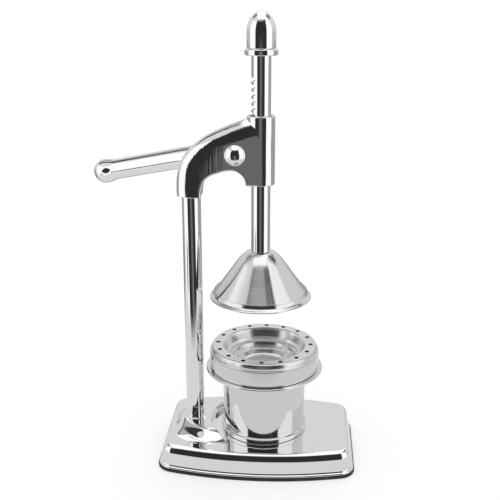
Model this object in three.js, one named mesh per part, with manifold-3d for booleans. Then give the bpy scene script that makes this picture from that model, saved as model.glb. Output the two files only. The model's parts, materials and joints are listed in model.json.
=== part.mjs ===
import * as THREE from "three";
import { mergeVertices } from "three/addons/utils/BufferGeometryUtils.js";
import Module from "manifold-3d";

// A lever citrus juice press, in millimetres with +Z up. The origin is under the base, on the plunger's axis.
// The column stands on the -X side, the front faces -Y, and the lever swings behind the head.

// Fits between pieces
const touchGap = 0.3;
const runGap = 0.35;
const cutOverrun = 1;

// Base casting and its rubber mat. The base's middle lies a little left of the plunger's axis.
const baseShift = -1.5;
const baseWidth = 192;
const baseDepth = 134;
const baseHeight = 24.9;
const baseCornerRadius = 17;
const baseBowRadius = 350;
const baseWall = 5;
const baseDraft = 1.6;
const baseShoulderRadius = 6.4;
const baseBeadHeight = 2;
const baseGrooveHeight = 0.9;
const baseGrooveDepth = 0.7;
const matThickness = 3;
const matLip = 1;

// Column, its foot on the base and its fastening
const columnRadius = 9;
const columnClearance = 3.1;
const columnWall = 2.4;
const moundHeight = 5.8;
const moundReachLeft = 21.5;
const moundReachFront = 41;
const moundSeatRadius = 49.5;
const moundFrontDrawShare = 0.66;
const moundLeftDrawShare = 0.2;
const moundRightDrawShare = 0.4;
const moundSideRoundness = 0.8;
const moundFrontRoundness = 0.7;
const flareRadius = 14.5;
const flareHeight = 15;
const bossRadius = 13;
const bossDrop = 9.5;
const socketFloor = 5;
const plugGrip = 22;
const boltRadius = 4;
const boltReach = 30;
const boltHeadRadius = 7.2;
const boltHeadHeight = 5;
const washerThickness = 1.3;
const washerRadius = 9;

// Rack, pinion and the lever's shaft
const gearModule = 2;
const pinionTeeth = 16;
const pinionFirstTooth = -1;
const pinionCutTeeth = 10;
const toothAddendum = 1.7;
const toothDedendum = 2.3;
const toothBacklash = 0.36;
const toothRootShare = 0.7;
const pressureSlope = Math.tan(THREE.MathUtils.degToRad(20));
const pinionWidth = 12;
const pinionBlankRadius = 13;
const rodRadius = 9;
const rackInset = 0.15;
const rackTeeth = 16;
const rackReach = 67.2;
const shaftRadius = 6;
const shaftStudRadius = 4;
const bushWall = 1.2;
const keyWidth = 4;
const keyDepth = 2;

// Head casting
const headLow = 262.4;
const headHeight = 75.8;
const legRadius = 12.5;
const columnGrip = 29;
const guideRadius = 13;
const guideDrop = 63.7;
const guideBushLength = 11;
const guideBushInset = 2;
const pivotRise = 40.9;
const rearBossRadius = 12.4;
const rearBossLength = 3.5;
const setScrewRadius = 3;
const setScrewSocket = 1.7;
const setScrewSpacing = 12;
const setScrewLift = 8;
const capRadius = 10.2;
const capBulge = 4.6;
const capWasherRadius = 10.9;
const capWasherThickness = 0.8;

// Lever. It is splayed backwards out of the plane in which it swings, so that the hand clears the head.
const leverLength = 168.3;
const leverRadius = 10.3;
const leverBulbRadius = 12.3;
const leverBulbLength = 21;
const leverDroop = THREE.MathUtils.degToRad(14);
const leverSplay = THREE.MathUtils.degToRad(20);
const hubRadius = 13;
const hubWidth = 19;
const hubSocketRadius = 12;
const hubSocketReach = 31;
const leverTenonRadius = 7;
const leverTenonReach = 16;
const leverPinRadius = 2;
const nutFlats = 8.2;
const nutHeight = 9;
const nutDomeShare = 0.85;
const nutThreadShare = 0.7;
const stopPinRadius = 3.5;
const stopPinReach = 36.5;
const stopPinDepth = 3.5;

// Plunger: rod, stop collar, knob and bell
const bellRimHeight = 163.6;
const bellHeight = 45.6;
const bellRadius = 48.9;
const bellTopRadius = 12.4;
const bellWall = 1.4;
const bellLip = 1;
const bellDiscThickness = 3;
const collarRadius = 15.1;
const collarHeight = 5.6;
const collarLift = 53.2;
const knobRadius = 13.2;
const knobHeight = 32;
const knobStraight = 14;
const tenonRadius = 5;
const tenonLength = 20;
const bellScrewRadius = 3;
const bellScrewReach = 16;
const bellScrewHeadRadius = 5.4;
const bellScrewHeadHeight = 3.6;
const bellWasherRadius = 8;

// Cup, drip ring and strainer. The loose cup stands a little off the plunger's axis, clear of the column.
const cupStandOff = 4;
const cupRadius = 41;
const cupTaper = 0.9;
const cupHeight = 66.2;
const cupWall = 1.2;
const cupFootLip = 2.3;
const cupFootHeight = 6;
const cupFootRecess = 2.4;
const cupShoulderRadius = 2;
const cupFlangeLip = 3.8;
const cupBeadRadius = 1.2;
const ringRadius = 53.6;
const ringHeight = 15;
const ringSpigot = 5;
const strainerShoulder = 6.4;
const strainerShoulderEdge = 0.6;
const strainerSkirt = 8;
const strainerHoles = 16;
const strainerHoleRadius = 1.6;
const strainerHoleInset = 1.9;
const strainerLand = 7.65;
const funnelDepth = 21.5;

// Facets in a full turn
const fineSteps = 32;
const midSteps = 24;
const smallSteps = 16;
const drillSteps = 10;
const hexSides = 6;

// Heights and places that follow from the sizes above
const shellLow = matThickness + touchGap;
const moundTop = baseHeight + moundHeight;
const columnLow = moundTop + flareHeight + touchGap;
const cupFlangeRadius = ringRadius + cupFlangeLip;
const columnOffset = Math.max(cupFlangeRadius - cupStandOff, bellRadius) + columnClearance + columnRadius;
const columnBore = columnRadius - columnWall;
const columnHigh = headLow + columnGrip - touchGap;
const socketLow = baseHeight - bossDrop + socketFloor;
const headHigh = headLow + headHeight;
const guideLow = headHigh - guideDrop;
const pitchRadius = gearModule * pinionTeeth / 2;
const rackPitchLine = rodRadius - rackInset - toothAddendum;
const pivotOffset = rackPitchLine + pitchRadius;
const rackPitch = Math.PI * gearModule;
const pivotHeight = headLow + pivotRise;
const rackTop = pivotHeight + rackReach;
const rackPhase = (rackTop - pivotHeight) % rackPitch;
const pinionOuterRadius = pitchRadius + toothAddendum;
const pinionRoomRadius = pinionOuterRadius + 3 * runGap;
const pinionRoomWidth = pinionWidth + 2 * runGap;
const shaftBushRadius = shaftRadius + runGap + bushWall;
const guideBushRadius = rodRadius + runGap + bushWall;
const webFront = -guideRadius;
const webBack = guideRadius;
const hubFront = webBack + rearBossLength + runGap;
const hubBack = hubFront + hubWidth;
const leverPlane = hubFront + hubWidth / 2;
const leverPinPlace = (leverTenonReach + hubSocketReach) / 2;
const stopPinBack = leverPlane + stopPinReach * Math.tan(leverSplay) + leverRadius / 2;
const studBack = hubBack + nutHeight * nutThreadShare;
const capSeat = webFront - capWasherThickness - 2 * touchGap;
const bellTop = bellRimHeight + bellHeight;
const rodLow = bellTop + touchGap;
const collarSeat = headHigh + collarLift;
const knobSeat = collarSeat + collarHeight + 2 * touchGap;
const cupLow = baseHeight + touchGap;
const cupTop = cupLow + cupHeight;
const ringLow = cupTop + touchGap;
const ringTop = ringLow + ringHeight;
const strainerTop = ringTop + touchGap + strainerShoulderEdge + strainerShoulder;
const strainerSkirtRadius = ringRadius - cupWall - touchGap;
const strainerRadius = ringRadius - touchGap / 2;
const strainerLandRadius = strainerRadius - strainerShoulder;
const strainerHoleCircle = strainerLandRadius - strainerHoleInset;
const funnelRadius = strainerLandRadius - strainerLand;

const wasm = await Module();
wasm.setup();

// Geometry helpers

/** Returns the geometry with shared corners merged and without triangles that have no area. */
function closed(geometry) {
  const bare = geometry.clone();
  for (const name of Object.keys(bare.attributes)) {
    if (name !== "position") bare.deleteAttribute(name);
  }
  const merged = mergeVertices(bare);
  const corners = merged.index.array;
  const kept = [];
  for (let i = 0; i < corners.length; i += 3) {
    const [a, b, c] = [corners[i], corners[i + 1], corners[i + 2]];
    if (a !== b && b !== c && c !== a) kept.push(a, b, c);
  }
  merged.setIndex(kept);
  return merged;
}

function toSolid(geometry) {
  const body = closed(geometry);
  return new wasm.Manifold(new wasm.Mesh({
    numProp: 3,
    vertProperties: new Float32Array(body.attributes.position.array),
    triVerts: new Uint32Array(body.index.array),
  }));
}

function toGeometry(solid) {
  const { vertProperties, triVerts, numProp } = solid.getMesh();
  const corners = new Float32Array(3 * vertProperties.length / numProp);
  for (let i = 0; i < corners.length / 3; i += 1) {
    for (let axis = 0; axis < 3; axis += 1) corners[3 * i + axis] = vertProperties[numProp * i + axis];
  }
  const geometry = new THREE.BufferGeometry();
  geometry.setAttribute("position", new THREE.BufferAttribute(corners, 3));
  geometry.setIndex(Array.from(triVerts));
  return geometry;
}

/** Adds geometries into one solid and takes others out of it. */
function combine(added, removed = []) {
  let solid = toSolid(added[0]);
  for (const geometry of added.slice(1)) solid = solid.add(toSolid(geometry));
  for (const geometry of removed) solid = solid.subtract(toSolid(geometry));
  return toGeometry(solid);
}

/** Turns a profile of [radius, height] points, given bottom to top on the outside, about the Z axis. */
function turned(profile, steps = midSteps) {
  const points = profile.map(([radius, height]) => new THREE.Vector2(radius, height));
  return new THREE.LatheGeometry(points, steps).rotateX(Math.PI / 2);
}

function rod(radius, low, high, steps = midSteps) {
  return turned([[0, low], [radius, low], [radius, high], [0, high]], steps);
}

function tube(radius, bore, low, high, steps = midSteps) {
  return turned([[bore, low], [radius, low], [radius, high], [bore, high], [bore, low]], steps);
}

/** Lays a geometry that was made about Z along Y, its low end to the front, through (x, z). */
function alongY(geometry, x = 0, z = 0) {
  return geometry.rotateX(-Math.PI / 2).rotateY(Math.PI).translate(x, 0, z);
}

/** Extrudes an outline of x and z between two depths. */
function plate(points, front, back) {
  const shape = new THREE.Shape(points.map(([x, z]) => new THREE.Vector2(x, z)));
  const geometry = new THREE.ExtrudeGeometry(shape, { depth: back - front, bevelEnabled: false });
  return geometry.rotateX(Math.PI / 2).translate(0, back, 0);
}

function box(width, depth, height, x, y, z) {
  return new THREE.BoxGeometry(width, depth, height).translate(x, y, z);
}

/** Skins closed convex rings of equal count, given bottom to top, and caps both ends. */
function loft(rings) {
  const count = rings[0].length;
  const last = (rings.length - 1) * count;
  const index = [];
  for (let row = 0; row < last; row += count) {
    for (let i = 0; i < count; i += 1) {
      const a = row + i;
      const b = row + (i + 1) % count;
      index.push(a, b, b + count, a, b + count, a + count);
    }
  }
  for (let i = 1; i + 1 < count; i += 1) {
    index.push(0, i + 1, i, last, last + i, last + i + 1);
  }
  const geometry = new THREE.BufferGeometry();
  geometry.setAttribute("position", new THREE.Float32BufferAttribute(rings.flat(2), 3));
  geometry.setIndex(index);
  return geometry;
}

function arcPoints(centreX, centreY, radius, from, to, steps) {
  return Array.from({ length: steps + 1 }, (_, i) => {
    const angle = from + (to - from) * i / steps;
    return [centreX + radius * Math.cos(angle), centreY + radius * Math.sin(angle)];
  });
}

/** Reads points written as shares of a reach along X and a height along Z. */
function fromShares(shares, reach, low, height) {
  return shares.map(([along, up]) => [reach * along, low + height * up]);
}

/** Moves an open line to the left of its own direction, which is into the solid of a turned profile. */
function offsetLine(points, distance) {
  return points.map(([x, y], i) => {
    const [beforeX, beforeY] = points[Math.max(i - 1, 0)];
    const [afterX, afterY] = points[Math.min(i + 1, points.length - 1)];
    const length = Math.hypot(afterX - beforeX, afterY - beforeY);
    return [x - distance * (afterY - beforeY) / length, y + distance * (afterX - beforeX) / length];
  });
}

function smoothLine(points, steps) {
  const curve = new THREE.SplineCurve(points.map(([x, z]) => new THREE.Vector2(x, z)));
  return curve.getPoints(steps).map((point) => [point.x, point.y]);
}

// Materials

function metal(color, roughness) {
  return new THREE.MeshStandardMaterial({ color, roughness, metalness: 1 });
}

const chrome = () => metal("#d9dbdd", 0.04);
const spunSteel = () => metal("#c3c4c5", 0.24);
const polishedSteel = () => metal("#cfd0d1", 0.1);
const plainSteel = () => metal("#a4a7ab", 0.35);
const bronze = () => metal("#b08a4e", 0.35);
const rubber = () => new THREE.MeshStandardMaterial({ color: "#141414", roughness: 0.75, metalness: 0 });

function piece(name, geometry, material) {
  const mesh = new THREE.Mesh(closed(geometry), material);
  mesh.name = name;
  return mesh;
}

// Base

/** The base's outline, drawn in by an inset: bowed front and back, straight sides, round corners. */
function baseRing(inset, height) {
  const halfWidth = baseWidth / 2 - inset;
  const halfDepth = baseDepth / 2 - inset;
  const corner = baseCornerRadius - inset;
  const bow = baseBowRadius - inset;
  const cornerX = halfWidth - corner;
  const bowCentre = bow - halfDepth;
  const cornerY = Math.sqrt((bow - corner) ** 2 - cornerX ** 2) - bowCentre;
  const turn = Math.atan2(cornerX, bowCentre + cornerY);
  const quarter = Math.PI / 2;
  const corners = 6;
  const bows = 8;
  const points = [
    ...arcPoints(0, bowCentre, bow, -quarter - turn, -quarter + turn, bows).slice(0, -1),
    ...arcPoints(cornerX, -cornerY, corner, -quarter + turn, 0, corners),
    ...arcPoints(cornerX, cornerY, corner, 0, quarter - turn, corners).slice(0, -1),
    ...arcPoints(0, -bowCentre, bow, quarter - turn, quarter + turn, bows).slice(0, -1),
    ...arcPoints(-cornerX, cornerY, corner, quarter + turn, 2 * quarter, corners),
    ...arcPoints(-cornerX, -cornerY, corner, 2 * quarter, 3 * quarter - turn, corners).slice(0, -1),
  ];
  return points.map(([x, y]) => [x + baseShift, y, height]);
}

/** The mound's outline at a share of its rise: a wide rounded foot that narrows to a ridge. */
function moundRing(rise) {
  const steps = 28;
  const reachFront = moundReachFront * (1 - moundFrontDrawShare * rise);
  const reachLeft = moundReachLeft * (1 - moundLeftDrawShare * rise);
  const reachRight = columnOffset * (1 - moundRightDrawShare * rise);
  const height = baseHeight - cutOverrun + (moundHeight + cutOverrun) * (1 - Math.cos(Math.PI * rise)) / 2;
  return Array.from({ length: steps }, (_, i) => {
    const angle = 2 * Math.PI * i / steps;
    const side = Math.cos(angle);
    const depth = Math.sin(angle);
    const reach = side < 0 ? reachLeft : reachRight;
    const x = Math.sign(side) * Math.abs(side) ** moundSideRoundness * reach;
    const y = Math.sign(depth) * Math.abs(depth) ** moundFrontRoundness * reachFront;
    return [x - columnOffset, y, height];
  });
}

function flareProfile() {
  const steps = 5;
  const curve = Array.from({ length: steps + 1 }, (_, i) => {
    const angle = Math.PI / 2 * i / steps;
    const radius = flareRadius - (flareRadius - columnRadius) * Math.sin(angle);
    return [radius, moundTop + flareHeight * (1 - Math.cos(angle))];
  });
  return [[0, baseHeight], [flareRadius, baseHeight], ...curve, [0, moundTop + flareHeight]];
}

function baseShell() {
  const wallInset = matLip + baseGrooveDepth / 2;
  const shoulderInset = wallInset + baseDraft;
  const beadTop = shellLow + baseBeadHeight;
  const grooveTop = beadTop + baseGrooveHeight;
  const shoulderSteps = 5;
  const shoulder = Array.from({ length: shoulderSteps + 1 }, (_, i) => {
    const angle = Math.PI / 2 * i / shoulderSteps;
    const inset = shoulderInset + baseShoulderRadius * (1 - Math.cos(angle));
    return baseRing(inset, baseHeight - baseShoulderRadius * (1 - Math.sin(angle)));
  });
  const outside = loft([
    baseRing(matLip, shellLow),
    baseRing(matLip, beadTop),
    baseRing(matLip + baseGrooveDepth, beadTop + baseGrooveHeight / 3),
    baseRing(wallInset, grooveTop),
    ...shoulder,
  ]);
  const hollow = loft([
    baseRing(matLip + baseWall, shellLow - cutOverrun),
    baseRing(shoulderInset + baseWall, baseHeight - baseShoulderRadius - baseWall / 2),
    baseRing(shoulderInset + baseWall + baseShoulderRadius / 2, baseHeight - baseWall),
  ]);
  const moundSteps = 6;
  const mound = loft(Array.from({ length: moundSteps + 1 }, (_, i) => moundRing(i / moundSteps)));
  const seat = rod(moundSeatRadius, baseHeight, moundTop + cutOverrun, fineSteps);
  const raised = combine([mound], [seat]);
  const flare = turned(flareProfile()).translate(-columnOffset, 0, 0);
  const boss = rod(bossRadius, baseHeight - bossDrop, baseHeight - baseWall / 2)
    .translate(-columnOffset, 0, 0);
  const body = combine([outside], [hollow]);
  const socket = rod(columnBore + touchGap, socketLow, columnLow + cutOverrun)
    .translate(-columnOffset, 0, 0);
  const boltHole = rod(boltRadius + touchGap, shellLow, socketLow + cutOverrun, smallSteps)
    .translate(-columnOffset, 0, 0);
  return piece("base_shell", combine([body, raised, flare, boss], [socket, boltHole]), chrome());
}

function baseMat() {
  const soft = matThickness / 4;
  const mat = loft([
    baseRing(soft, 0),
    baseRing(0, soft),
    baseRing(0, matThickness - soft),
    baseRing(soft, matThickness),
  ]);
  return piece("base_mat", mat, rubber());
}

// Column

function columnParts() {
  const group = new THREE.Group();
  group.position.x = -columnOffset;
  const column = tube(columnRadius, columnBore, columnLow, columnHigh);
  const plugRadius = columnBore - touchGap;
  const plugLow = socketLow + touchGap;
  const threadTop = plugLow + boltReach;
  const threadBore = boltRadius + touchGap;
  const plugTop = columnLow + plugGrip;
  const plug = turned([
    [threadBore, plugLow], [plugRadius, plugLow], [plugRadius, plugTop], [0, plugTop],
    [0, threadTop], [threadBore, threadTop], [threadBore, plugLow],
  ], smallSteps);
  const washerTop = baseHeight - bossDrop - touchGap;
  const washerLow = washerTop - washerThickness;
  const washer = tube(washerRadius, boltRadius + touchGap, washerLow, washerTop, smallSteps);
  const headTop = washerLow - touchGap;
  const hexHead = rod(boltHeadRadius, headTop - boltHeadHeight, headTop, hexSides);
  const shank = rod(boltRadius, headTop - boltHeadHeight / 2, threadTop - 2 * touchGap, smallSteps);
  group.add(
    piece("column_tube", column, chrome()),
    piece("column_plug", plug, plainSteel()),
    piece("column_washer", washer, plainSteel()),
    piece("column_bolt", combine([hexHead, shank]), plainSteel()),
  );
  return group;
}

// Head

// The arm's outer edge, from the foot of the leg over the elbow to the guide of the rod
const armShares = [
  [-1.014, 0], [-1.014, 0.157], [-1, 0.299], [-0.962, 0.427], [-0.902, 0.531], [-0.818, 0.627],
  [-0.694, 0.726], [-0.57, 0.799], [-0.407, 0.873], [-0.243, 0.938], [-0.1, 0.985],
];
// The arch under the web, from the guide to the inner side of the leg
const archShares = [
  [-0.14, 0.16], [-0.17, 0.166], [-0.192, 0.244], [-0.25, 0.312], [-0.336, 0.345], [-0.44, 0.33],
  [-0.55, 0.29], [-0.628, 0.237], [-0.67, 0.166], [-0.69, 0.078], [-0.697, 0],
];

/** The arm's rounded outer side, as a round bar as thick as the web. */
function armBar(middle, outer) {
  const steps = 16;
  const rings = middle.map(([middleX, middleZ], row) => {
    const [outX, outZ] = outer[row];
    return Array.from({ length: steps }, (_, i) => {
      const angle = 2 * Math.PI * i / steps;
      const across = Math.cos(angle);
      const depth = guideRadius * Math.sin(angle);
      return [middleX + (outX - middleX) * across, -depth, middleZ + (outZ - middleZ) * across];
    });
  });
  return loft(rings);
}

function headCasting() {
  const reach = columnOffset + legRadius;
  const armSteps = 18;
  const outer = smoothLine(fromShares(armShares, reach, headLow, headHeight), armSteps);
  const middle = offsetLine(outer, -guideRadius);
  const arch = smoothLine(fromShares(archShares, reach, headLow, headHeight), armSteps);
  const arm = armBar(middle, outer);
  const web = plate([...arch, ...middle], webFront, webBack);
  const guide = rod(guideRadius, guideLow, headHigh);
  const rearBoss = alongY(
    rod(rearBossRadius, webBack - cutOverrun, webBack + rearBossLength), -pivotOffset, pivotHeight,
  );
  const stop = stopPinPlace();

  const guideBore = rod(rodRadius + 2 * runGap, guideLow - cutOverrun, headHigh + cutOverrun);
  const bushBore = guideBushRadius + touchGap;
  const upperLow = headHigh - guideBushInset - guideBushLength - touchGap;
  const upperSeat = rod(bushBore, upperLow, headHigh + cutOverrun);
  const lowerSeat = rod(bushBore, guideLow - cutOverrun, guideLow + guideBushLength + touchGap);
  const columnSocket = rod(columnRadius + touchGap, headLow - cutOverrun, headLow + columnGrip)
    .translate(-columnOffset, 0, 0);
  const shaftBore = alongY(
    rod(shaftBushRadius + touchGap, webFront - cutOverrun, webBack + rearBossLength + cutOverrun),
    -pivotOffset, pivotHeight,
  );
  const room = alongY(
    rod(pinionRoomRadius, -pinionRoomWidth / 2, pinionRoomWidth / 2), -pivotOffset, pivotHeight,
  );
  const slotLow = headLow - cutOverrun;
  const slot = box(
    pinionRoomRadius + pivotOffset - rodRadius, pinionRoomWidth, pivotHeight - slotLow,
    -(pivotOffset + pinionRoomRadius + rodRadius) / 2, 0, (pivotHeight + slotLow) / 2,
  );
  const stopHole = alongY(
    rod(stopPinRadius + touchGap, webBack - stopPinDepth, webBack + cutOverrun, smallSteps), stop.x, stop.z,
  );
  const screwHoles = setScrewHeights().map((height) => alongY(
    rod(setScrewRadius + touchGap, 0, webBack + cutOverrun, smallSteps), -columnOffset, height,
  ));
  const casting = combine(
    [arm, web, guide, rearBoss],
    [guideBore, upperSeat, lowerSeat, columnSocket, shaftBore, room, slot, stopHole, ...screwHoles],
  );
  return piece("head_casting", casting, chrome());
}

function setScrewHeights() {
  return [headLow + setScrewLift, headLow + setScrewLift + setScrewSpacing];
}

function headFasteners() {
  const names = ["head_set_screw_lower", "head_set_screw_upper"];
  return setScrewHeights().map((height, i) => {
    const near = columnRadius + touchGap;
    const far = webBack;
    const screw = combine(
      [rod(setScrewRadius, near, far, smallSteps)],
      [rod(setScrewSocket, (near + far) / 2, far + cutOverrun, hexSides)],
    );
    return piece(names[i], alongY(screw, -columnOffset, height), plainSteel());
  });
}

function guideBushes() {
  const bore = rodRadius + runGap;
  const top = headHigh - guideBushInset;
  const upper = tube(guideBushRadius, bore, top - guideBushLength, top);
  const lower = tube(guideBushRadius, bore, guideLow + touchGap, guideLow + guideBushLength);
  return [piece("guide_bush_upper", upper, bronze()), piece("guide_bush_lower", lower, bronze())];
}

function shaftBushes() {
  const bore = shaftRadius + runGap;
  const inner = pinionRoomWidth / 2;
  const front = tube(shaftBushRadius, bore, webFront, -inner);
  const rear = tube(shaftBushRadius, bore, inner, webBack + rearBossLength);
  return [
    piece("shaft_bush_front", alongY(front, -pivotOffset, pivotHeight), bronze()),
    piece("shaft_bush_rear", alongY(rear, -pivotOffset, pivotHeight), bronze()),
  ];
}

/** Where the stop pin's axis lies, so that the resting lever lies on the pin. */
function stopPinPlace() {
  const apart = leverRadius + stopPinRadius + touchGap;
  return {
    x: -pivotOffset - stopPinReach * Math.cos(leverDroop) + apart * Math.sin(leverDroop),
    z: pivotHeight - stopPinReach * Math.sin(leverDroop) - apart * Math.cos(leverDroop),
  };
}

function stopPin() {
  const { x, z } = stopPinPlace();
  const pin = rod(stopPinRadius, webBack - stopPinDepth + touchGap, stopPinBack, smallSteps);
  return piece("lever_stop_pin", alongY(pin, x, z), plainSteel());
}

// Lever assembly, modelled about the pivot with the lever along -X, then turned as one to its rest

/** The sector pinion: cut teeth over the arc that meets the rack, and a plain low rim under it. */
function pinionOutline() {
  const pitchAngle = 2 * Math.PI / pinionTeeth;
  const half = (Math.PI * gearModule / 2 - toothBacklash / 2) / pitchRadius / 2;
  const tip = half - toothAddendum * pressureSlope / pitchRadius;
  const root = half + toothDedendum * pressureSlope / pitchRadius * toothRootShare;
  const inner = pitchRadius - toothDedendum;
  const start = rackPhase / pitchRadius - leverDroop;
  const at = (radius, angle) => [radius * Math.cos(angle), radius * Math.sin(angle)];
  const teeth = Array.from({ length: pinionCutTeeth }, (_, i) => {
    const middle = start + (pinionFirstTooth + i) * pitchAngle;
    return [
      at(inner, middle - root), at(pitchRadius, middle - half), at(pinionOuterRadius, middle - tip),
      at(pinionOuterRadius, middle + tip), at(pitchRadius, middle + half), at(inner, middle + root),
    ];
  }).flat();
  const first = start + (pinionFirstTooth - 1 / 2) * pitchAngle;
  const last = first + pinionCutTeeth * pitchAngle;
  const blankSteps = 9;
  return [...teeth, ...arcPoints(0, 0, pinionBlankRadius, last, first + 2 * Math.PI, blankSteps)];
}

function keyBlock(name, front, back) {
  const low = shaftRadius - keyDepth + touchGap;
  const high = shaftRadius + keyDepth - touchGap;
  const key = box(keyWidth, back - front, high - low, 0, (front + back) / 2, (high + low) / 2);
  return piece(name, key, plainSteel());
}

function keySlot(front, back) {
  const height = 2 * keyDepth;
  return box(keyWidth + 2 * touchGap, back - front, height, 0, (front + back) / 2, shaftRadius);
}

function leverShaft() {
  const studFront = capSeat - capBulge / 2;
  const profile = turned([
    [0, studFront], [shaftStudRadius, studFront], [shaftStudRadius, webFront], [shaftRadius, webFront],
    [shaftRadius, hubBack], [shaftStudRadius, hubBack], [shaftStudRadius, studBack], [0, studBack],
  ]);
  const slots = [
    keySlot(-pinionWidth / 2, pinionWidth / 2),
    keySlot(hubFront + touchGap, hubBack - touchGap),
  ];
  return piece("lever_shaft", combine([alongY(profile)], slots), plainSteel());
}

function pinion() {
  const blank = plate(pinionOutline(), -pinionWidth / 2, pinionWidth / 2);
  const bore = alongY(rod(shaftRadius + touchGap, -pinionWidth, pinionWidth));
  const gear = combine([blank], [bore, keySlot(-pinionWidth, pinionWidth)]);
  return piece("pinion_gear", gear, plainSteel());
}

function frontCap() {
  const bulgeRadius = (capRadius ** 2 + capBulge ** 2) / (2 * capBulge);
  const open = Math.asin(capRadius / bulgeRadius);
  const steps = 6;
  const dome = Array.from({ length: steps + 1 }, (_, i) => {
    const angle = open * i / steps;
    return [bulgeRadius * Math.sin(angle), capSeat - capBulge + bulgeRadius * (1 - Math.cos(angle))];
  });
  const bore = shaftStudRadius + touchGap;
  const boreEnd = capSeat - capBulge / 2 - touchGap;
  const cap = turned([...dome, [bore, capSeat], [bore, boreEnd], [0, boreEnd]]);
  const washer = tube(capWasherRadius, bore, capSeat + touchGap, webFront - touchGap);
  return [
    piece("shaft_cap", alongY(cap), chrome()),
    piece("shaft_cap_washer", alongY(washer), chrome()),
  ];
}

/** Turns a geometry that was made about the pivot backwards by the lever's splay. */
function splayed(geometry) {
  return geometry.rotateZ(-leverSplay).translate(0, leverPlane, 0);
}

/** Lays a geometry that was made about Z along the lever, its low end at the pivot. */
function alongLever(geometry) {
  return splayed(geometry.rotateY(-Math.PI / 2));
}

/** A rod across the lever where its cross pin sits. */
function crossRod(radius, reach) {
  return splayed(alongY(rod(radius, -reach, reach, smallSteps), -leverPinPlace));
}

function leverBar() {
  const bulbStart = leverLength - leverBulbLength;
  const bulbMiddle = leverLength - leverBulbRadius;
  const neckSteps = 4;
  const neck = Array.from({ length: neckSteps }, (_, i) => {
    const share = (i + 1) / (neckSteps + 1);
    const swell = (leverBulbRadius - leverRadius) * (1 - Math.cos(Math.PI * share)) / 2;
    return [leverRadius + swell, bulbStart + (bulbMiddle - bulbStart) * share];
  });
  const end = arcPoints(0, bulbMiddle, leverBulbRadius, 0, Math.PI / 2, 7);
  const bar = turned([
    [0, leverTenonReach], [leverTenonRadius, leverTenonReach], [leverTenonRadius, hubSocketReach + touchGap],
    [leverRadius, hubSocketReach + touchGap], [leverRadius, bulbStart], ...neck, ...end,
  ]);
  const pinHole = crossRod(leverPinRadius + touchGap, hubSocketRadius);
  return piece("lever_bar", combine([alongLever(bar)], [pinHole]), chrome());
}

function leverHub() {
  const barrel = alongY(rod(hubRadius, hubFront, hubBack));
  const socket = alongLever(rod(hubSocketRadius, 0, hubSocketReach));
  const trim = alongY(rod(hubSocketReach + hubSocketRadius, hubFront, hubBack + hubSocketReach, fineSteps));
  const outside = toGeometry(toSolid(barrel).add(toSolid(socket).intersect(toSolid(trim))));
  const nutRoom = alongY(rod(washerRadius + cutOverrun, hubBack, hubBack + hubSocketReach));
  const shaftBore = alongY(rod(shaftRadius + touchGap, hubFront - cutOverrun, hubBack + cutOverrun));
  const tenonBore = alongLever(rod(
    leverTenonRadius + touchGap, leverTenonReach - touchGap, hubSocketReach + cutOverrun,
  ));
  const pinHole = crossRod(leverPinRadius + touchGap, hubSocketRadius + cutOverrun);
  const key = keySlot(hubFront - cutOverrun, hubBack + cutOverrun);
  return piece("lever_hub", combine([outside], [nutRoom, shaftBore, tenonBore, pinHole, key]), chrome());
}

function leverFasteners() {
  const washerLow = hubBack + touchGap;
  const washerTop = washerLow + washerThickness;
  const washer = tube(washerRadius, shaftStudRadius + touchGap, washerLow, washerTop, smallSteps);
  const nutLow = washerTop + touchGap;
  const hexHeight = nutHeight / 2;
  const hex = rod(nutFlats, nutLow, nutLow + hexHeight, hexSides);
  const domeSteps = 5;
  const domeRadius = nutFlats * nutDomeShare;
  const dome = arcPoints(0, 0, domeRadius, 0, Math.PI / 2, domeSteps)
    .map(([radius, up]) => [radius, nutLow + hexHeight + up]);
  const crownLow = nutLow + hexHeight / 2;
  const crown = turned([[0, crownLow], [domeRadius, crownLow], ...dome], smallSteps);
  const bore = rod(shaftStudRadius + touchGap, nutLow - cutOverrun, studBack + touchGap, smallSteps);
  return [
    piece("lever_cross_pin", crossRod(leverPinRadius, hubSocketRadius - touchGap), plainSteel()),
    piece("lever_washer", alongY(washer), plainSteel()),
    piece("lever_nut", alongY(combine([hex, crown], [bore])), chrome()),
  ];
}

function leverParts() {
  const group = new THREE.Group();
  group.position.set(-pivotOffset, 0, pivotHeight);
  group.rotation.y = -leverDroop;
  group.add(leverShaft(), pinion(), ...frontCap(), leverHub(), leverBar(), ...leverFasteners());
  group.add(keyBlock("pinion_key", -pinionWidth / 2 + touchGap, pinionWidth / 2 - touchGap));
  group.add(keyBlock("lever_key", hubFront + 2 * touchGap, hubBack - 2 * touchGap));
  return group;
}

// Plunger

/** The rod's left face seen from the front: a rack over the length that the pinion reaches. */
function rackOutline() {
  const half = rackPitch / 4 - toothBacklash / 4;
  const tipHalf = half - toothAddendum * pressureSlope;
  const rootHalf = half + toothDedendum * pressureSlope;
  const tipX = -(rackPitchLine + toothAddendum);
  const rootX = -(rackPitchLine - toothDedendum);
  const side = 2 * rodRadius;
  const points = [[side, collarSeat], [-side, collarSeat]];
  const gaps = Array.from({ length: rackTeeth }, (_, i) => rackTop - i * rackPitch);
  points.push([-side, gaps[0] + rackPitch / 2 - tipHalf], [tipX, gaps[0] + rackPitch / 2 - tipHalf]);
  for (const middle of gaps) {
    points.push([rootX, middle + rackPitch / 2 - rootHalf], [rootX, middle - rackPitch / 2 + rootHalf]);
    points.push([tipX, middle - rackPitch / 2 + tipHalf], [tipX, middle - rackPitch / 2 - tipHalf]);
  }
  points.pop();
  const bottom = gaps.at(-1) - rackPitch / 2 + tipHalf;
  points.push([-side, bottom], [-side, rodLow], [side, rodLow]);
  return points;
}

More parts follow.
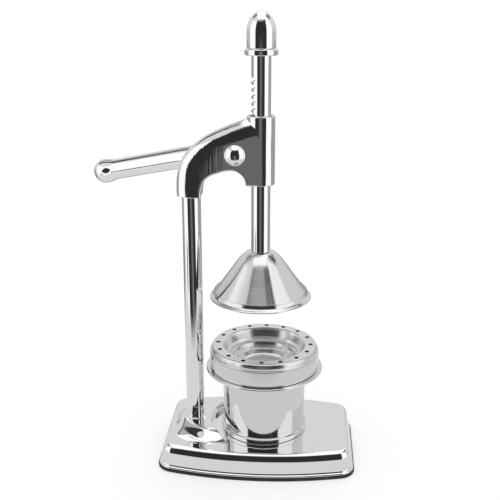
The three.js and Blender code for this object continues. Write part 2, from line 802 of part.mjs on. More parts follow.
function rackRod() {
  const round = rod(rodRadius, rodLow, collarSeat);
  const cut = plate(rackOutline(), -2 * rodRadius, 2 * rodRadius);
  const toothed = toGeometry(toSolid(round).intersect(toSolid(cut)));
  const tenonTop = collarSeat + tenonLength;
  const tenon = rod(tenonRadius, collarSeat - cutOverrun, tenonTop, smallSteps);
  const screwHole = rod(
    bellScrewRadius + touchGap, rodLow - cutOverrun, rodLow + bellScrewReach + touchGap, smallSteps,
  );
  return piece("rack_rod", combine([toothed, tenon], [screwHole]), chrome());
}

function stopCollar() {
  const low = collarSeat + touchGap;
  const high = low + collarHeight;
  const edge = collarHeight / 5;
  const bore = tenonRadius + touchGap;
  const ring = turned([
    [bore, low], [collarRadius - edge, low], [collarRadius, low + edge], [collarRadius, high - edge],
    [collarRadius - edge, high], [bore, high], [bore, low],
  ]);
  return piece("stop_collar", ring, chrome());
}

function knob() {
  const bore = tenonRadius + touchGap;
  const boreTop = collarSeat + tenonLength + touchGap;
  const domeHeight = knobHeight - knobStraight;
  const steps = 8;
  const dome = arcPoints(0, 0, 1, 0, Math.PI / 2, steps)
    .map(([out, up]) => [knobRadius * out, knobSeat + knobStraight + domeHeight * up]);
  dome[steps][0] = 0;
  const edge = knobRadius / 16;
  const cap = turned([
    [bore, knobSeat], [knobRadius - edge, knobSeat], [knobRadius, knobSeat + edge], ...dome,
    [0, boreTop], [bore, boreTop], [bore, knobSeat],
  ]);
  return piece("knob", cap, chrome());
}

// The bell's outer wall: radius as a share from the top disc to the rim, height as a share of the bell
const bellShares = [
  [1, 0.02], [0.985, 0.05], [0.94, 0.1], [0.878, 0.17], [0.75, 0.335], [0.6, 0.495], [0.42, 0.665],
  [0.235, 0.84], [0.08, 0.955],
];

function bell() {
  const spread = bellRadius - bellTopRadius;
  const discLow = bellTop - bellDiscThickness;
  const outside = bellShares.map(([out, up]) => [
    bellTopRadius + spread * out, bellRimHeight + bellHeight * up,
  ]);
  const inside = offsetLine(outside, bellWall)
    .filter(([, height]) => height < discLow - bellWall)
    .toReversed();
  const bore = bellScrewRadius + touchGap;
  const profile = [
    [bellRadius - bellWall, bellRimHeight], [bellRadius - bellLip / 2, bellRimHeight], ...outside,
    [bellTopRadius, bellTop], [bore, bellTop], [bore, discLow], [bellTopRadius, discLow],
    ...inside.slice(0, -1), [bellRadius - bellWall, bellRimHeight],
  ];
  return piece("bell", turned(profile, fineSteps), spunSteel());
}

function bellFasteners() {
  const washerTop = bellTop - bellDiscThickness - touchGap;
  const washerLow = washerTop - washerThickness;
  const washer = tube(bellWasherRadius, bellScrewRadius + touchGap, washerLow, washerTop, smallSteps);
  const headTop = washerLow - touchGap;
  const headEnd = headTop - bellScrewHeadHeight;
  const shankTop = rodLow + bellScrewReach - touchGap;
  const edge = bellScrewHeadHeight / 3;
  const screw = turned([
    [0, headEnd], [bellScrewHeadRadius - edge, headEnd], [bellScrewHeadRadius, headEnd + edge],
    [bellScrewHeadRadius, headTop], [bellScrewRadius, headTop], [bellScrewRadius, shankTop], [0, shankTop],
  ], smallSteps);
  return [piece("bell_washer", washer, plainSteel()), piece("bell_screw", screw, plainSteel())];
}

// Cup, drip ring and strainer

function cup() {
  const footTop = cupLow + cupFootHeight;
  const lowRadius = cupRadius - cupTaper;
  const footRadius = lowRadius + cupFootLip;
  const flangeLow = cupTop - cupWall;
  const beadSteps = 4;
  const beadMiddle = cupFlangeRadius - cupBeadRadius;
  const bead = arcPoints(
    beadMiddle, cupTop - cupBeadRadius, cupBeadRadius, -Math.PI / 2, Math.PI / 2, beadSteps,
  );
  const soft = cupShoulderRadius * (1 - Math.SQRT1_2);
  const recess = cupLow + cupFootRecess;
  const profile = [
    [0, recess], [footRadius - 2 * cupWall, recess],
    [footRadius - cupWall, cupLow], [footRadius - cupWall / 2, cupLow],
    [footRadius, cupLow + cupWall / 2], [footRadius, footTop - cupWall],
    [lowRadius, footTop], [cupRadius, flangeLow - cupShoulderRadius],
    [cupRadius + soft, flangeLow - soft],
    [cupRadius + cupShoulderRadius, flangeLow], [cupFlangeRadius - 2 * cupBeadRadius, flangeLow], ...bead,
    [cupRadius + cupShoulderRadius, cupTop], [cupRadius - soft / 2, cupTop - soft],
    [cupRadius - cupWall, cupTop - cupShoulderRadius],
    [lowRadius - cupWall, footTop], [lowRadius - 2 * cupWall, recess + 2 * cupWall],
    [lowRadius - 4 * cupWall, recess + cupWall], [0, recess + cupWall],
  ];
  return piece("cup", turned(profile, fineSteps), polishedSteel());
}

function dripRing() {
  const spigot = cupRadius - cupWall - touchGap;
  const inner = ringRadius - cupWall;
  const soft = cupWall / 2;
  const floor = ringLow + cupWall;
  const profile = [
    [spigot - cupWall, ringLow - ringSpigot], [spigot - soft / 2, ringLow - ringSpigot],
    [spigot - soft / 2, ringLow - cupShoulderRadius - touchGap],
    [spigot - soft / 2, ringLow], [ringRadius - soft, ringLow], [ringRadius, ringLow + soft],
    [ringRadius, ringTop], [inner, ringTop], [inner, floor], [spigot - cupWall, floor],
    [spigot - cupWall, ringLow - ringSpigot],
  ];
  return piece("drip_ring", turned(profile, fineSteps), polishedSteel());
}

// The funnel's upper face: radius as a share of its mouth, depth as a share of its deepest step
const funnelShares = [
  [1, 0], [0.978, 0.035], [0.955, 0.12], [0.905, 0.4], [0.862, 0.52], [0.785, 0.545], [0.765, 0.58],
  [0.735, 0.7], [0.685, 0.81], [0.63, 0.83], [0.612, 0.86], [0.55, 0.965], [0.5, 1], [0.14, 1], [0.1, 0.93],
  [0, 0.9],
];

function strainer() {
  const edge = ringTop + touchGap;
  const roundLow = edge + strainerShoulderEdge;
  const thick = cupWall;
  const roundSteps = 5;
  const quarter = Math.PI / 2;
  const shoulder = arcPoints(strainerLandRadius, roundLow, strainerShoulder, 0, quarter, roundSteps);
  const inner = arcPoints(
    strainerLandRadius, roundLow, strainerShoulder - thick, 0, quarter, roundSteps - 1,
  ).toReversed();
  const skirtLow = edge - strainerSkirt;
  const upper = funnelShares.map(([out, deep]) => [funnelRadius * out, strainerTop - funnelDepth * deep]);
  const lower = offsetLine([[strainerLandRadius, strainerTop], ...upper], thick).slice(1).toReversed();
  lower[0][0] = 0;
  const profile = [
    [strainerSkirtRadius - thick, skirtLow], [strainerSkirtRadius, skirtLow], [strainerSkirtRadius, edge],
    [strainerRadius, edge], ...shoulder, ...upper, ...lower, ...inner,
    [strainerSkirtRadius - thick, edge - thick / 2], [strainerSkirtRadius - thick, skirtLow],
  ];
  const drills = Array.from({ length: strainerHoles }, (_, i) => {
    const angle = Math.PI / 2 + 2 * Math.PI * i / strainerHoles;
    return rod(strainerHoleRadius, strainerTop - 3 * thick, strainerTop + cutOverrun, drillSteps)
      .translate(strainerHoleCircle * Math.cos(angle), strainerHoleCircle * Math.sin(angle), 0);
  });
  return piece("strainer", combine([turned(profile, fineSteps)], drills), polishedSteel());
}

const press = new THREE.Group();
press.name = "citrus_press";
press.add(baseShell(), baseMat(), columnParts());
press.add(headCasting(), ...headFasteners(), ...guideBushes(), ...shaftBushes(), stopPin());
press.add(leverParts());
press.add(rackRod(), stopCollar(), knob(), bell(), ...bellFasteners());
const cupSet = new THREE.Group();
cupSet.position.x = cupStandOff;
cupSet.add(cup(), dripRing(), strainer());
press.add(cupSet);

export default press;
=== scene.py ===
import json
import math

import bmesh
import bpy
import numpy as np
from mathutils import Matrix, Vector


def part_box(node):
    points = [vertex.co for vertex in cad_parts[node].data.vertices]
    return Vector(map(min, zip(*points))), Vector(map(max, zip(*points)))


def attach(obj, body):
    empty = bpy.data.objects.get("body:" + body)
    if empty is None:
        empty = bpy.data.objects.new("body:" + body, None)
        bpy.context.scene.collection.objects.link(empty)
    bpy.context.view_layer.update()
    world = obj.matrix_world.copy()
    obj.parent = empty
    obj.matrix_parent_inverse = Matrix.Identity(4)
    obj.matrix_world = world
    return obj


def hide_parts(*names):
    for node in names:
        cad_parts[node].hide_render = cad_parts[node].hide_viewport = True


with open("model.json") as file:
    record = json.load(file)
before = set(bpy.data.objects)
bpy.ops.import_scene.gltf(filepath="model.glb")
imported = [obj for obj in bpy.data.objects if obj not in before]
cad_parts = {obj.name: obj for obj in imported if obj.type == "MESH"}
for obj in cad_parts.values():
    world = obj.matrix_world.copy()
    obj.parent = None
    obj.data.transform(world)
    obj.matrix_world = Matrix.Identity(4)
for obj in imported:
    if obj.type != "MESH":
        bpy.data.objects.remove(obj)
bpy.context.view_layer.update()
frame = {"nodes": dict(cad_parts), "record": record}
mm = 0.001  # the tables below are in millimetres
print("press: CAD frame loaded")


def heights(node):
    return [corner[2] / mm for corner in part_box(node)]


def middleX(node):
    low, high = [corner[0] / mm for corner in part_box(node)]
    return (low + high) / 2


# Camera: its place and tilt were read from the round rims of the bell, ring and cup
viewpoint = {"place": (42.94, -754.51, 446.79), "tilt": 72.614, "turn": 4.022, "lens": 59.76, "sensor": 36.0}
cameraData = bpy.data.cameras.new("viewpoint")
cameraData.lens = viewpoint["lens"]
cameraData.sensor_width = viewpoint["sensor"]
camera = bpy.data.objects.new("viewpoint", cameraData)
camera.location = [value * mm for value in viewpoint["place"]]
camera.rotation_euler = (math.radians(viewpoint["tilt"]), 0, math.radians(viewpoint["turn"]))
bpy.context.scene.collection.objects.link(camera)
bpy.context.scene.camera = camera
bpy.context.scene.view_settings.view_transform = "Standard"
print("press: camera set")


# Node helpers
def addNode(tree, kind, inputs=None, **settings):
    made = tree.nodes.new(kind)
    for name, value in settings.items():
        setattr(made, name, value)
    for key, value in (inputs or {}).items():
        if isinstance(value, bpy.types.NodeSocket):
            tree.links.new(value, made.inputs[key])
        else:
            made.inputs[key].default_value = value
    return made


def calc(tree, operation, *values):
    inputs = dict(enumerate(values))
    return addNode(tree, "ShaderNodeMath", inputs, operation=operation).outputs[0]


def vectorCalc(tree, operation, *values):
    return addNode(tree, "ShaderNodeVectorMath", dict(enumerate(values)), operation=operation).outputs


def parts(tree, place):
    return addNode(tree, "ShaderNodeSeparateXYZ", {0: place}).outputs


def fromParts(tree, **values):
    return addNode(tree, "ShaderNodeCombineXYZ", values).outputs[0]


def fromAxis(tree, place):
    # How far a place is from the Z axis, and how high
    split = parts(tree, place)
    return vectorCalc(tree, "LENGTH", fromParts(tree, X=split["X"], Y=split["Y"]))["Value"], split["Z"]


def noise(tree, place, scale, detail, **more):
    inputs = {"Vector": place, "Scale": scale, "Detail": detail, **more}
    return addNode(tree, "ShaderNodeTexNoise", inputs).outputs["Fac"]


def mix(tree, share, low, high):
    return addNode(tree, "ShaderNodeMix", {0: share, 2: low, 3: high}).outputs[0]


def mixColour(tree, share, low, high):
    return addNode(tree, "ShaderNodeMix", {0: share, 6: low, 7: high}, data_type="RGBA").outputs[2]


def ramp(tree, value, low, high, toLow=0.0, toHigh=1.0):
    inputs = {"Value": value, "From Min": low, "From Max": high, "To Min": toLow, "To Max": toHigh}
    return addNode(tree, "ShaderNodeMapRange", inputs, interpolation_type="SMOOTHSTEP").outputs["Result"]


def newGroup(name, kind, inputs, outputs):
    tree = bpy.data.node_groups.new(name, kind)
    for label, socket, value in inputs:
        made = tree.interface.new_socket(label, in_out="INPUT", socket_type=socket)
        if value is not None:
            made.default_value = value
    for label, socket in outputs:
        tree.interface.new_socket(label, in_out="OUTPUT", socket_type=socket)
    return tree, tree.nodes.new("NodeGroupInput").outputs, tree.nodes.new("NodeGroupOutput").inputs


def placeGroup(tree, group, inputs):
    kind = "GeometryNodeGroup" if tree.bl_idname == "GeometryNodeTree" else "ShaderNodeGroup"
    return addNode(tree, kind, inputs, node_tree=group).outputs


# Studio: white side and overhead panels, a dark front and a light table, seen only in the metal
number, vector = "NodeSocketFloat", "NodeSocketVector"


def makePanelGroup():
    # One panel of the studio, laid over the light under it
    tree, given, put = newGroup("studioPanel", "ShaderNodeTree", [
        ("Under", number, 0.0), ("Across", number, 0.0), ("Up", number, 0.0), ("Middle", number, 0.0),
        ("Half Width", number, 10.0), ("Low", number, -90.0), ("High", number, 90.0), ("Soft", number, 2.0),
        ("Level", number, 1.0),
    ], [("Light", number)])
    off = calc(tree, "ABSOLUTE", calc(tree, "SUBTRACT", given["Across"], given["Middle"]))
    inSide = calc(tree, "SUBTRACT", given["Half Width"], off)
    inLow = calc(tree, "SUBTRACT", given["Up"], given["Low"])
    inHigh = calc(tree, "SUBTRACT", given["High"], given["Up"])
    depth = calc(tree, "MINIMUM", inSide, calc(tree, "MINIMUM", inLow, inHigh))
    half = calc(tree, "MULTIPLY", given["Soft"], 0.5)
    mask = ramp(tree, depth, calc(tree, "MULTIPLY", half, -1.0), half)
    tree.links.new(mix(tree, mask, given["Under"], given["Level"]), put["Light"])
    return tree


studio = {
    "back": (-20.0, 15.0, 0.36, 0.77),  # lower and upper height in degrees, and the level at each
    "ceiling": (36.0, 39.0, 0.04),  # between which heights it turns dark, and its level
    "panels": [  # in degrees: middle, half width, low, high, softness; then the level
        (69, 24, -90, 41, 4, 1.15), (-69, 24, -90, 41, 4, 1.15),  # sides
        (0, 44, -90, 41, 3, 0.03),  # dark front
        (0, 12, -90, -4, 5, 0.15),  # grey core of the dark front
        (71, 21, 41, 62, 4, 1.15), (97, 7, 41, 62, 12, 0.6),  # raised part of the right side
        (-71.5, 31.5, 41, 62, 4, 0.8),  # and of the left side
        (151, 29, 41, 62, 5, 0.5), (-151, 29, 41, 62, 5, 0.5),  # and of the back
        (-6, 29, 48, 66, 9, 0.52),  # grey strip over the dark front
    ],
    "overhead": (0.5, -0.6, 1.4, 0.1, 1.3),  # as shares of the height: half width, front, back, softness; level
}
panelGroup = makePanelGroup()


def makeSurroundGroup():
    # Everything round the object at table height and above, by direction
    tree, given, put = newGroup("studioSurround", "ShaderNodeTree", [("Direction", vector, None)],
                                [("Light", number)])
    split = parts(tree, given["Direction"])
    across = calc(tree, "ARCTAN2", split["X"], calc(tree, "MULTIPLY", split["Y"], -1.0))
    across = calc(tree, "DEGREES", across)
    up = calc(tree, "DEGREES", calc(tree, "ARCSINE", split["Z"]))
    first, last, level = studio["ceiling"]
    light = mix(tree, ramp(tree, up, first, last), ramp(tree, up, *studio["back"]), level)
    for middle, halfWidth, low, high, soft, level in studio["panels"]:
        light = placeGroup(tree, panelGroup, {
            "Under": light, "Across": across, "Up": up, "Middle": middle, "Half Width": halfWidth, "Low": low,
            "High": high, "Soft": soft, "Level": level,
        })["Light"]
    halfWidth, front, back, soft, level = studio["overhead"]
    height = calc(tree, "MAXIMUM", split["Z"], 0.01)
    light = placeGroup(tree, panelGroup, {
        "Under": light, "Across": calc(tree, "DIVIDE", split["X"], height), "Middle": 0.0,
        "Up": calc(tree, "DIVIDE", split["Y"], height), "Half Width": halfWidth, "Low": front, "High": back,
        "Soft": soft, "Level": level,
    })["Light"]
    tree.links.new(light, put["Light"])
    return tree


surroundGroup = makeSurroundGroup()


def mirroredRay(tree):
    path = addNode(tree, "ShaderNodeLightPath").outputs
    return calc(tree, "MAXIMUM", path["Is Glossy Ray"], path["Is Transmission Ray"])


def makeWorld():
    world = bpy.data.worlds.new("studio")
    bpy.context.scene.world = world
    world.use_nodes = True
    world.cycles.sampling_method = "NONE"
    tree = world.node_tree
    tree.nodes.clear()
    direction = addNode(tree, "ShaderNodeTexCoord").outputs["Generated"]
    light = placeGroup(tree, surroundGroup, {"Direction": direction})["Light"]
    level = mix(tree, mirroredRay(tree), 1.0, light)
    background = addNode(tree, "ShaderNodeBackground", {"Color": (1, 1, 1, 1), "Strength": level})
    ending = addNode(tree, "ShaderNodeOutputWorld")
    tree.links.new(background.outputs[0], ending.inputs["Surface"])


table = {
    "side": 6.0, "paper": 0.62, "lift": 0.42,  # half its width in metres, its colour and its glow
    "near": 0.76, "lightTo": 225, "darkFrom": 380, "sideways": 0.5,  # what the metal shows of it
    "dip": -0.3,  # how far below level the studio beyond it is taken from
    "line": (-0.87, 0.045, 350, 520, 10, 0.1),  # dark line at the left: middle, half width, from, to, softness, level
}


def glowing(tree, strength):
    return addNode(tree, "ShaderNodeEmission", {"Color": (1, 1, 1, 1), "Strength": strength}).outputs[0]


def makeFloor():
    # White to the camera with the object's shadow; in the metal, light near the base and the studio beyond
    side = table["side"]
    mesh = bpy.data.meshes.new("studio_floor")
    mesh.from_pydata([(-side, -side, 0), (side, -side, 0), (side, side, 0), (-side, side, 0)], [], [(0, 1, 2, 3)])
    floor = bpy.data.objects.new("studio_floor", mesh)
    bpy.context.scene.collection.objects.link(floor)
    material = bpy.data.materials.new("paleTable")
    material.use_nodes = True
    tree = material.node_tree
    tree.nodes.clear()
    place = addNode(tree, "ShaderNodeTexCoord").outputs["Object"]
    wide = vectorCalc(tree, "MULTIPLY", place, (table["sideways"], 1, 1))[0]
    distance = vectorCalc(tree, "LENGTH", wide)["Value"]
    flat = vectorCalc(tree, "NORMALIZE", place)[0]
    dipped = vectorCalc(tree, "ADD", flat, (0, 0, table["dip"]))[0]
    dipped = vectorCalc(tree, "NORMALIZE", dipped)[0]
    far = placeGroup(tree, surroundGroup, {"Direction": dipped})["Light"]
    middle, halfWidth, first, last, soft, level = table["line"]
    far = placeGroup(tree, panelGroup, {
        "Under": far, "Across": parts(tree, flat)["X"], "Middle": middle, "Half Width": halfWidth,
        "Up": distance, "Low": first * mm, "High": last * mm, "Soft": soft * mm, "Level": level,
    })["Light"]
    beyond = ramp(tree, distance, table["lightTo"] * mm, table["darkFrom"] * mm)
    mirrored = glowing(tree, mix(tree, beyond, table["near"], far))
    paper = addNode(tree, "ShaderNodeBsdfDiffuse", {"Color": (*[table["paper"]] * 3, 1)}).outputs[0]
    plain = addNode(tree, "ShaderNodeAddShader", {0: paper, 1: glowing(tree, table["lift"])}).outputs[0]
    mixed = addNode(tree, "ShaderNodeMixShader", {0: mirroredRay(tree), 1: plain, 2: mirrored})
    ending = addNode(tree, "ShaderNodeOutputMaterial")
    tree.links.new(mixed.outputs[0], ending.inputs["Surface"])
    mesh.materials.append(material)


makeWorld()
makeFloor()
print("press: studio set")


# Effects that several finishes share
def makeSmudgeGroup():
    # Faint wiping marks: a roughness that varies in soft patches
    tree, given, put = newGroup("wipingMarks", "ShaderNodeTree", [
        ("Place", vector, None), ("Scale", number, 40.0), ("Clean", number, 0.04), ("Marked", number, 0.08),
    ], [("Roughness", number), ("Mask", number)])
    mask = ramp(tree, noise(tree, given["Place"], given["Scale"], 4.0, Roughness=0.6, Distortion=0.4), 0.45, 0.75)
    tree.links.new(mix(tree, mask, given["Clean"], given["Marked"]), put["Roughness"])
    tree.links.new(mask, put["Mask"])
    return tree


def makeRingGroup():
    # Fine rings left by turning or spinning about an upright axis
    tree, given, put = newGroup("turnedRings", "ShaderNodeTree", [
        ("Place", vector, None), ("Pitch", number, 0.4), ("Unevenness", number, 0.5),
    ], [("Height", number)])
    along = calc(tree, "ADD", *fromAxis(tree, given["Place"]))
    step = calc(tree, "DIVIDE", along, calc(tree, "MULTIPLY", given["Pitch"], mm))
    grooves = noise(tree, fromParts(tree, X=step), 1.0, 2.0, Roughness=given["Unevenness"])
    tree.links.new(grooves, put["Height"])
    return tree


def makeWearAndHighlightGroup():
    # Raised edges made lighter: rubbed by handling, and a painted highlight along them
    tree, given, put = newGroup("rubbedEdgesAndHighlight", "ShaderNodeTree", [
        ("Place", vector, None), ("Scale", number, 90.0), ("Amount", number, 0.5),
    ], [("Mask", number)])
    edge = addNode(tree, "ShaderNodeNewGeometry").outputs["Pointiness"]
    grain = noise(tree, given["Place"], given["Scale"], 5.0)
    raised = ramp(tree, edge, 0.52, 0.62)
    mask = calc(tree, "MULTIPLY", calc(tree, "MULTIPLY", raised, grain), given["Amount"])
    tree.links.new(mask, put["Mask"])
    return tree


smudgeGroup = makeSmudgeGroup()
ringGroup = makeRingGroup()
wearAndHighlightGroup = makeWearAndHighlightGroup()


def newFinish(name):
    material = bpy.data.materials.new(name)
    material.use_nodes = True
    tree = material.node_tree
    shader = tree.nodes["Principled BSDF"]
    place = addNode(tree, "ShaderNodeTexCoord").outputs["Object"]
    return material, tree, shader, place


def bump(tree, shader, height, strength, distance, before=None):
    inputs = {"Height": height, "Strength": strength, "Distance": distance}
    if before is not None:
        inputs["Normal"] = before
    made = addNode(tree, "ShaderNodeBump", inputs).outputs[0]
    tree.links.new(made, shader.inputs["Normal"])
    return made


def tint(tree, mask, plain, marked):
    return mixColour(tree, mask, (*plain, 1), (*marked, 1))


def newMetal(name, values):
    # A metal with wiping marks, and raised edges made lighter by rubbing and by a painted highlight
    material, tree, shader, place = newFinish(name)
    shader.inputs["Metallic"].default_value = 1.0
    rough = placeGroup(tree, smudgeGroup, {
        "Place": place, "Scale": values["markScale"], "Clean": values["clean"], "Marked": values["marked"],
    })["Roughness"]
    rubbedAndHighlit = placeGroup(tree, wearAndHighlightGroup, {"Place": place, "Amount": values["wearAndHighlight"]})["Mask"]
    # Painted highlight and wear: raised edges take the lighter second colour
    shade = tint(tree, rubbedAndHighlit, values["colour"], values["rubbedAndHighlit"])
    tree.links.new(rough, shader.inputs["Roughness"])
    tree.links.new(shade, shader.inputs["Base Color"])
    return material, tree, shader, place, rough, shade


def makeChrome(name, values):
    material, tree, shader, place, rough, shade = newMetal(name, values)
    if "cut" in values:  # faces milled into the round bar are duller than the plate
        radius, low, high, dull, cutRough = values["cut"]
        away, height = fromAxis(tree, place)
        inside = calc(tree, "LESS_THAN", away, radius * mm)
        inside = calc(tree, "MULTIPLY", inside, calc(tree, "GREATER_THAN", height, low * mm))
        inside = calc(tree, "MULTIPLY", inside, calc(tree, "LESS_THAN", height, high * mm))
        tree.links.new(mix(tree, inside, rough, cutRough), shader.inputs["Roughness"])
        tree.links.new(mixColour(tree, inside, shade, (dull, dull, dull, 1)), shader.inputs["Base Color"])
    wave = noise(tree, place, values["waveScale"], 1.0)
    waved = bump(tree, shader, wave, 1.0, values["wave"] * mm)
    if "streak" in values:  # upright marks of the linishing belt
        across, up, deep = values["streak"]
        drawn = addNode(tree, "ShaderNodeMapping", {"Vector": place, "Scale": (across, across, up)}).outputs[0]
        bump(tree, shader, noise(tree, drawn, 1.0, 2.0), 1.0, deep * mm, before=waved)
    return material


def makeTurned(name, values):
    material, tree, shader, place, _, _ = newMetal(name, values)
    shader.inputs["Anisotropic"].default_value = values["stretch"]
    centred = addNode(tree, "ShaderNodeMapping", {
        "Vector": place, "Location": [-value * mm for value in values["axis"]],
    }).outputs[0]
    rings = placeGroup(tree, ringGroup, {"Place": centred, "Pitch": values["pitch"]})["Height"]
    bump(tree, shader, rings, 1.0, values["depth"] * mm)
    if values["stretch"] > 0:  # the grooves run round the axis, so light is drawn out across them
        around = vectorCalc(tree, "CROSS_PRODUCT", (0, 0, 1), centred)[0]
        turned = addNode(tree, "ShaderNodeVectorTransform", {0: around}, vector_type="VECTOR",
                         convert_from="OBJECT", convert_to="WORLD")
        tree.links.new(turned.outputs[0], shader.inputs["Tangent"])
        shader.inputs["Anisotropic Rotation"].default_value = 0.25
    return material


def makeRubber(name, values):
    material, tree, shader, place = newFinish(name)
    shader.inputs["Roughness"].default_value = values["rough"]
    grain = noise(tree, place, values["grainScale"], 6.0, Roughness=0.7)
    dust = placeGroup(tree, smudgeGroup, {"Place": place, "Scale": 60.0})["Mask"]
    tree.links.new(tint(tree, dust, values["colour"], values["dusty"]), shader.inputs["Base Color"])
    bump(tree, shader, grain, 0.6, values["grain"] * mm)
    return material


# Each metal's second colour is for raised edges: rubbed metal and a painted highlight together
mirrorPlate = {
    "colour": (0.86, 0.865, 0.87), "rubbedAndHighlit": (0.93, 0.93, 0.93), "wearAndHighlight": 0.5, "clean": 0.03, "marked": 0.055,
    "markScale": 45.0, "waveScale": 40.0, "wave": 0.01,
}
castPlate = {
    "colour": (0.84, 0.845, 0.85), "rubbedAndHighlit": (0.92, 0.92, 0.92), "wearAndHighlight": 0.6, "clean": 0.035, "marked": 0.07,
    "markScale": 35.0, "waveScale": 55.0, "wave": 0.025,
}
rackCut = (8.95, 260, 380, 0.3, 0.35)  # inside this radius, from and to which height, how bright and how rough
headStreak = (330, 22, 0.11)  # scale across and up, and depth
chrome = makeChrome("mirrorChrome", mirrorPlate)
rackChrome = makeChrome("rackChrome", {**mirrorPlate, "cut": rackCut})
castChrome = makeChrome("castChrome", castPlate)
headChrome = makeChrome("headChrome", {**castPlate, "streak": headStreak})
spunSteel = makeTurned("satinSpunSteel", {
    "colour": (0.75, 0.755, 0.76), "rubbedAndHighlit": (0.9, 0.9, 0.9), "wearAndHighlight": 0.5, "clean": 0.15, "marked": 0.2,
    "markScale": 30.0, "stretch": 0.7, "axis": (0, 0, 0), "pitch": 0.5, "depth": 0.02,
})
cupX = middleX("cup")
polishedSteel = makeTurned("polishedSteel", {
    "colour": (0.74, 0.745, 0.75), "rubbedAndHighlit": (0.9, 0.9, 0.9), "wearAndHighlight": 0.4, "clean": 0.07, "marked": 0.12,
    "markScale": 35.0, "stretch": 0.0, "axis": (cupX, 0, 0), "pitch": 0.8, "depth": 0.006,
})
satinSteel = makeTurned("satinStrainerSteel", {
    "colour": (0.76, 0.765, 0.77), "rubbedAndHighlit": (0.9, 0.9, 0.9), "wearAndHighlight": 0.5, "clean": 0.24, "marked": 0.32,
    "markScale": 35.0, "stretch": 0.5, "axis": (cupX, 0, 0), "pitch": 0.6, "depth": 0.015,
})
plainSteel = makeTurned("machinedSteel", {
    "colour": (0.56, 0.57, 0.59), "rubbedAndHighlit": (0.75, 0.75, 0.76), "wearAndHighlight": 0.7, "clean": 0.28, "marked": 0.4,
    "markScale": 120.0, "stretch": 0.0, "axis": (0, 0, 0), "pitch": 0.3, "depth": 0.02,
})
bronze = makeTurned("bearingBronze", {
    "colour": (0.34, 0.29, 0.22), "rubbedAndHighlit": (0.5, 0.43, 0.33), "wearAndHighlight": 0.6, "clean": 0.3, "marked": 0.45,
    "markScale": 150.0, "stretch": 0.0, "axis": (0, 0, 0), "pitch": 0.3, "depth": 0.02,
})
rubber = makeRubber("mattRubber", {
    "colour": (0.012, 0.012, 0.012), "dusty": (0.03, 0.03, 0.03), "rough": 0.6, "grainScale": 900.0,
    "grain": 0.08,
})
print("press: finishes made")


def endTree(tree, shape, given, put):
    # The last nodes of every Geometry Nodes tree here: plain geometry with its finish
    real = addNode(tree, "GeometryNodeRealizeInstances", {"Geometry": shape}).outputs[0]
    finished = addNode(tree, "GeometryNodeSetMaterial", {"Geometry": real, "Material": given["Finish"]})
    tree.links.new(finished.outputs[0], put["Piece"])
    return tree


def cutWith(tree, blank, points, cutter):
    # Takes the cutter out of the blank at every point
    row = addNode(tree, "GeometryNodeInstanceOnPoints", {"Points": points, "Instance": cutter}).outputs[0]
    row = addNode(tree, "GeometryNodeRealizeInstances", {"Geometry": row}).outputs[0]
    cut = addNode(tree, "GeometryNodeMeshBoolean", {"Mesh 1": blank}, operation="DIFFERENCE")
    tree.links.new(row, cut.inputs["Mesh 2"])
    return cut.outputs["Mesh"]


# Shapes turned about an axis: Geometry Nodes sweep a profile of radius and height round Z
def makeSpinTree():
    tree, given, put = newGroup("spinProfile", "GeometryNodeTree", [
        ("Profile", "NodeSocketGeometry", None), ("Steps", "NodeSocketInt", 96),
        ("Finish", "NodeSocketMaterial", None),
    ], [("Piece", "NodeSocketGeometry")])
    size = addNode(tree, "GeometryNodeAttributeDomainSize", {"Geometry": given["Profile"]})
    whole = addNode(tree, "FunctionNodeIntegerMath", {0: given["Steps"], 1: 1}, operation="ADD").outputs[0]
    grid = addNode(tree, "GeometryNodeMeshGrid", {
        "Vertices X": size.outputs["Point Count"], "Vertices Y": whole,
    }).outputs["Mesh"]
    index = addNode(tree, "GeometryNodeInputIndex").outputs[0]
    row = addNode(tree, "FunctionNodeIntegerMath", {0: index, 1: whole}, operation="DIVIDE_FLOOR").outputs[0]
    step = addNode(tree, "FunctionNodeIntegerMath", {0: index, 1: whole}, operation="MODULO").outputs[0]
    angle = calc(tree, "MULTIPLY", calc(tree, "DIVIDE", step, given["Steps"]), 2 * math.pi)
    here = addNode(tree, "GeometryNodeInputPosition").outputs[0]
    taken = addNode(tree, "GeometryNodeSampleIndex", data_type="FLOAT_VECTOR")
    tree.links.new(given["Profile"], taken.inputs["Geometry"])
    tree.links.new(here, taken.inputs["Value"])
    tree.links.new(row, taken.inputs["Index"])
    point = parts(tree, taken.outputs["Value"])
    placed = fromParts(tree, X=calc(tree, "MULTIPLY", point["X"], calc(tree, "COSINE", angle)),
                       Y=calc(tree, "MULTIPLY", point["X"], calc(tree, "SINE", angle)), Z=point["Z"])
    spun = addNode(tree, "GeometryNodeSetPosition", {"Geometry": grid, "Position": placed}).outputs[0]
    joined = addNode(tree, "GeometryNodeMergeByDistance", {"Geometry": spun, "Distance": 0.002 * mm}).outputs[0]
    smooth = addNode(tree, "GeometryNodeSetShadeSmooth", {"Geometry": joined}).outputs[0]
    return endTree(tree, smooth, given, put)


spinTree = makeSpinTree()


def newObject(name, mesh):
    made = bpy.data.objects.new(name, mesh)
    bpy.context.scene.collection.objects.link(made)
    return made


def growMesh(source, tree, values):
    # Runs a Geometry Nodes tree on a mesh and gives back the plain result
    holder = newObject("grower", source)
    modifier = holder.modifiers.new("grower", "NODES")
    modifier.node_group = tree
    for item in tree.interface.items_tree:
        if item.item_type == "SOCKET" and item.in_out == "INPUT" and item.name in values:
            modifier[item.identifier] = values[item.name]
    graph = bpy.context.evaluated_depsgraph_get()
    result = bpy.data.meshes.new_from_object(holder.evaluated_get(graph))
    holder.modifiers.remove(modifier)
    bpy.data.objects.remove(holder)
    return result


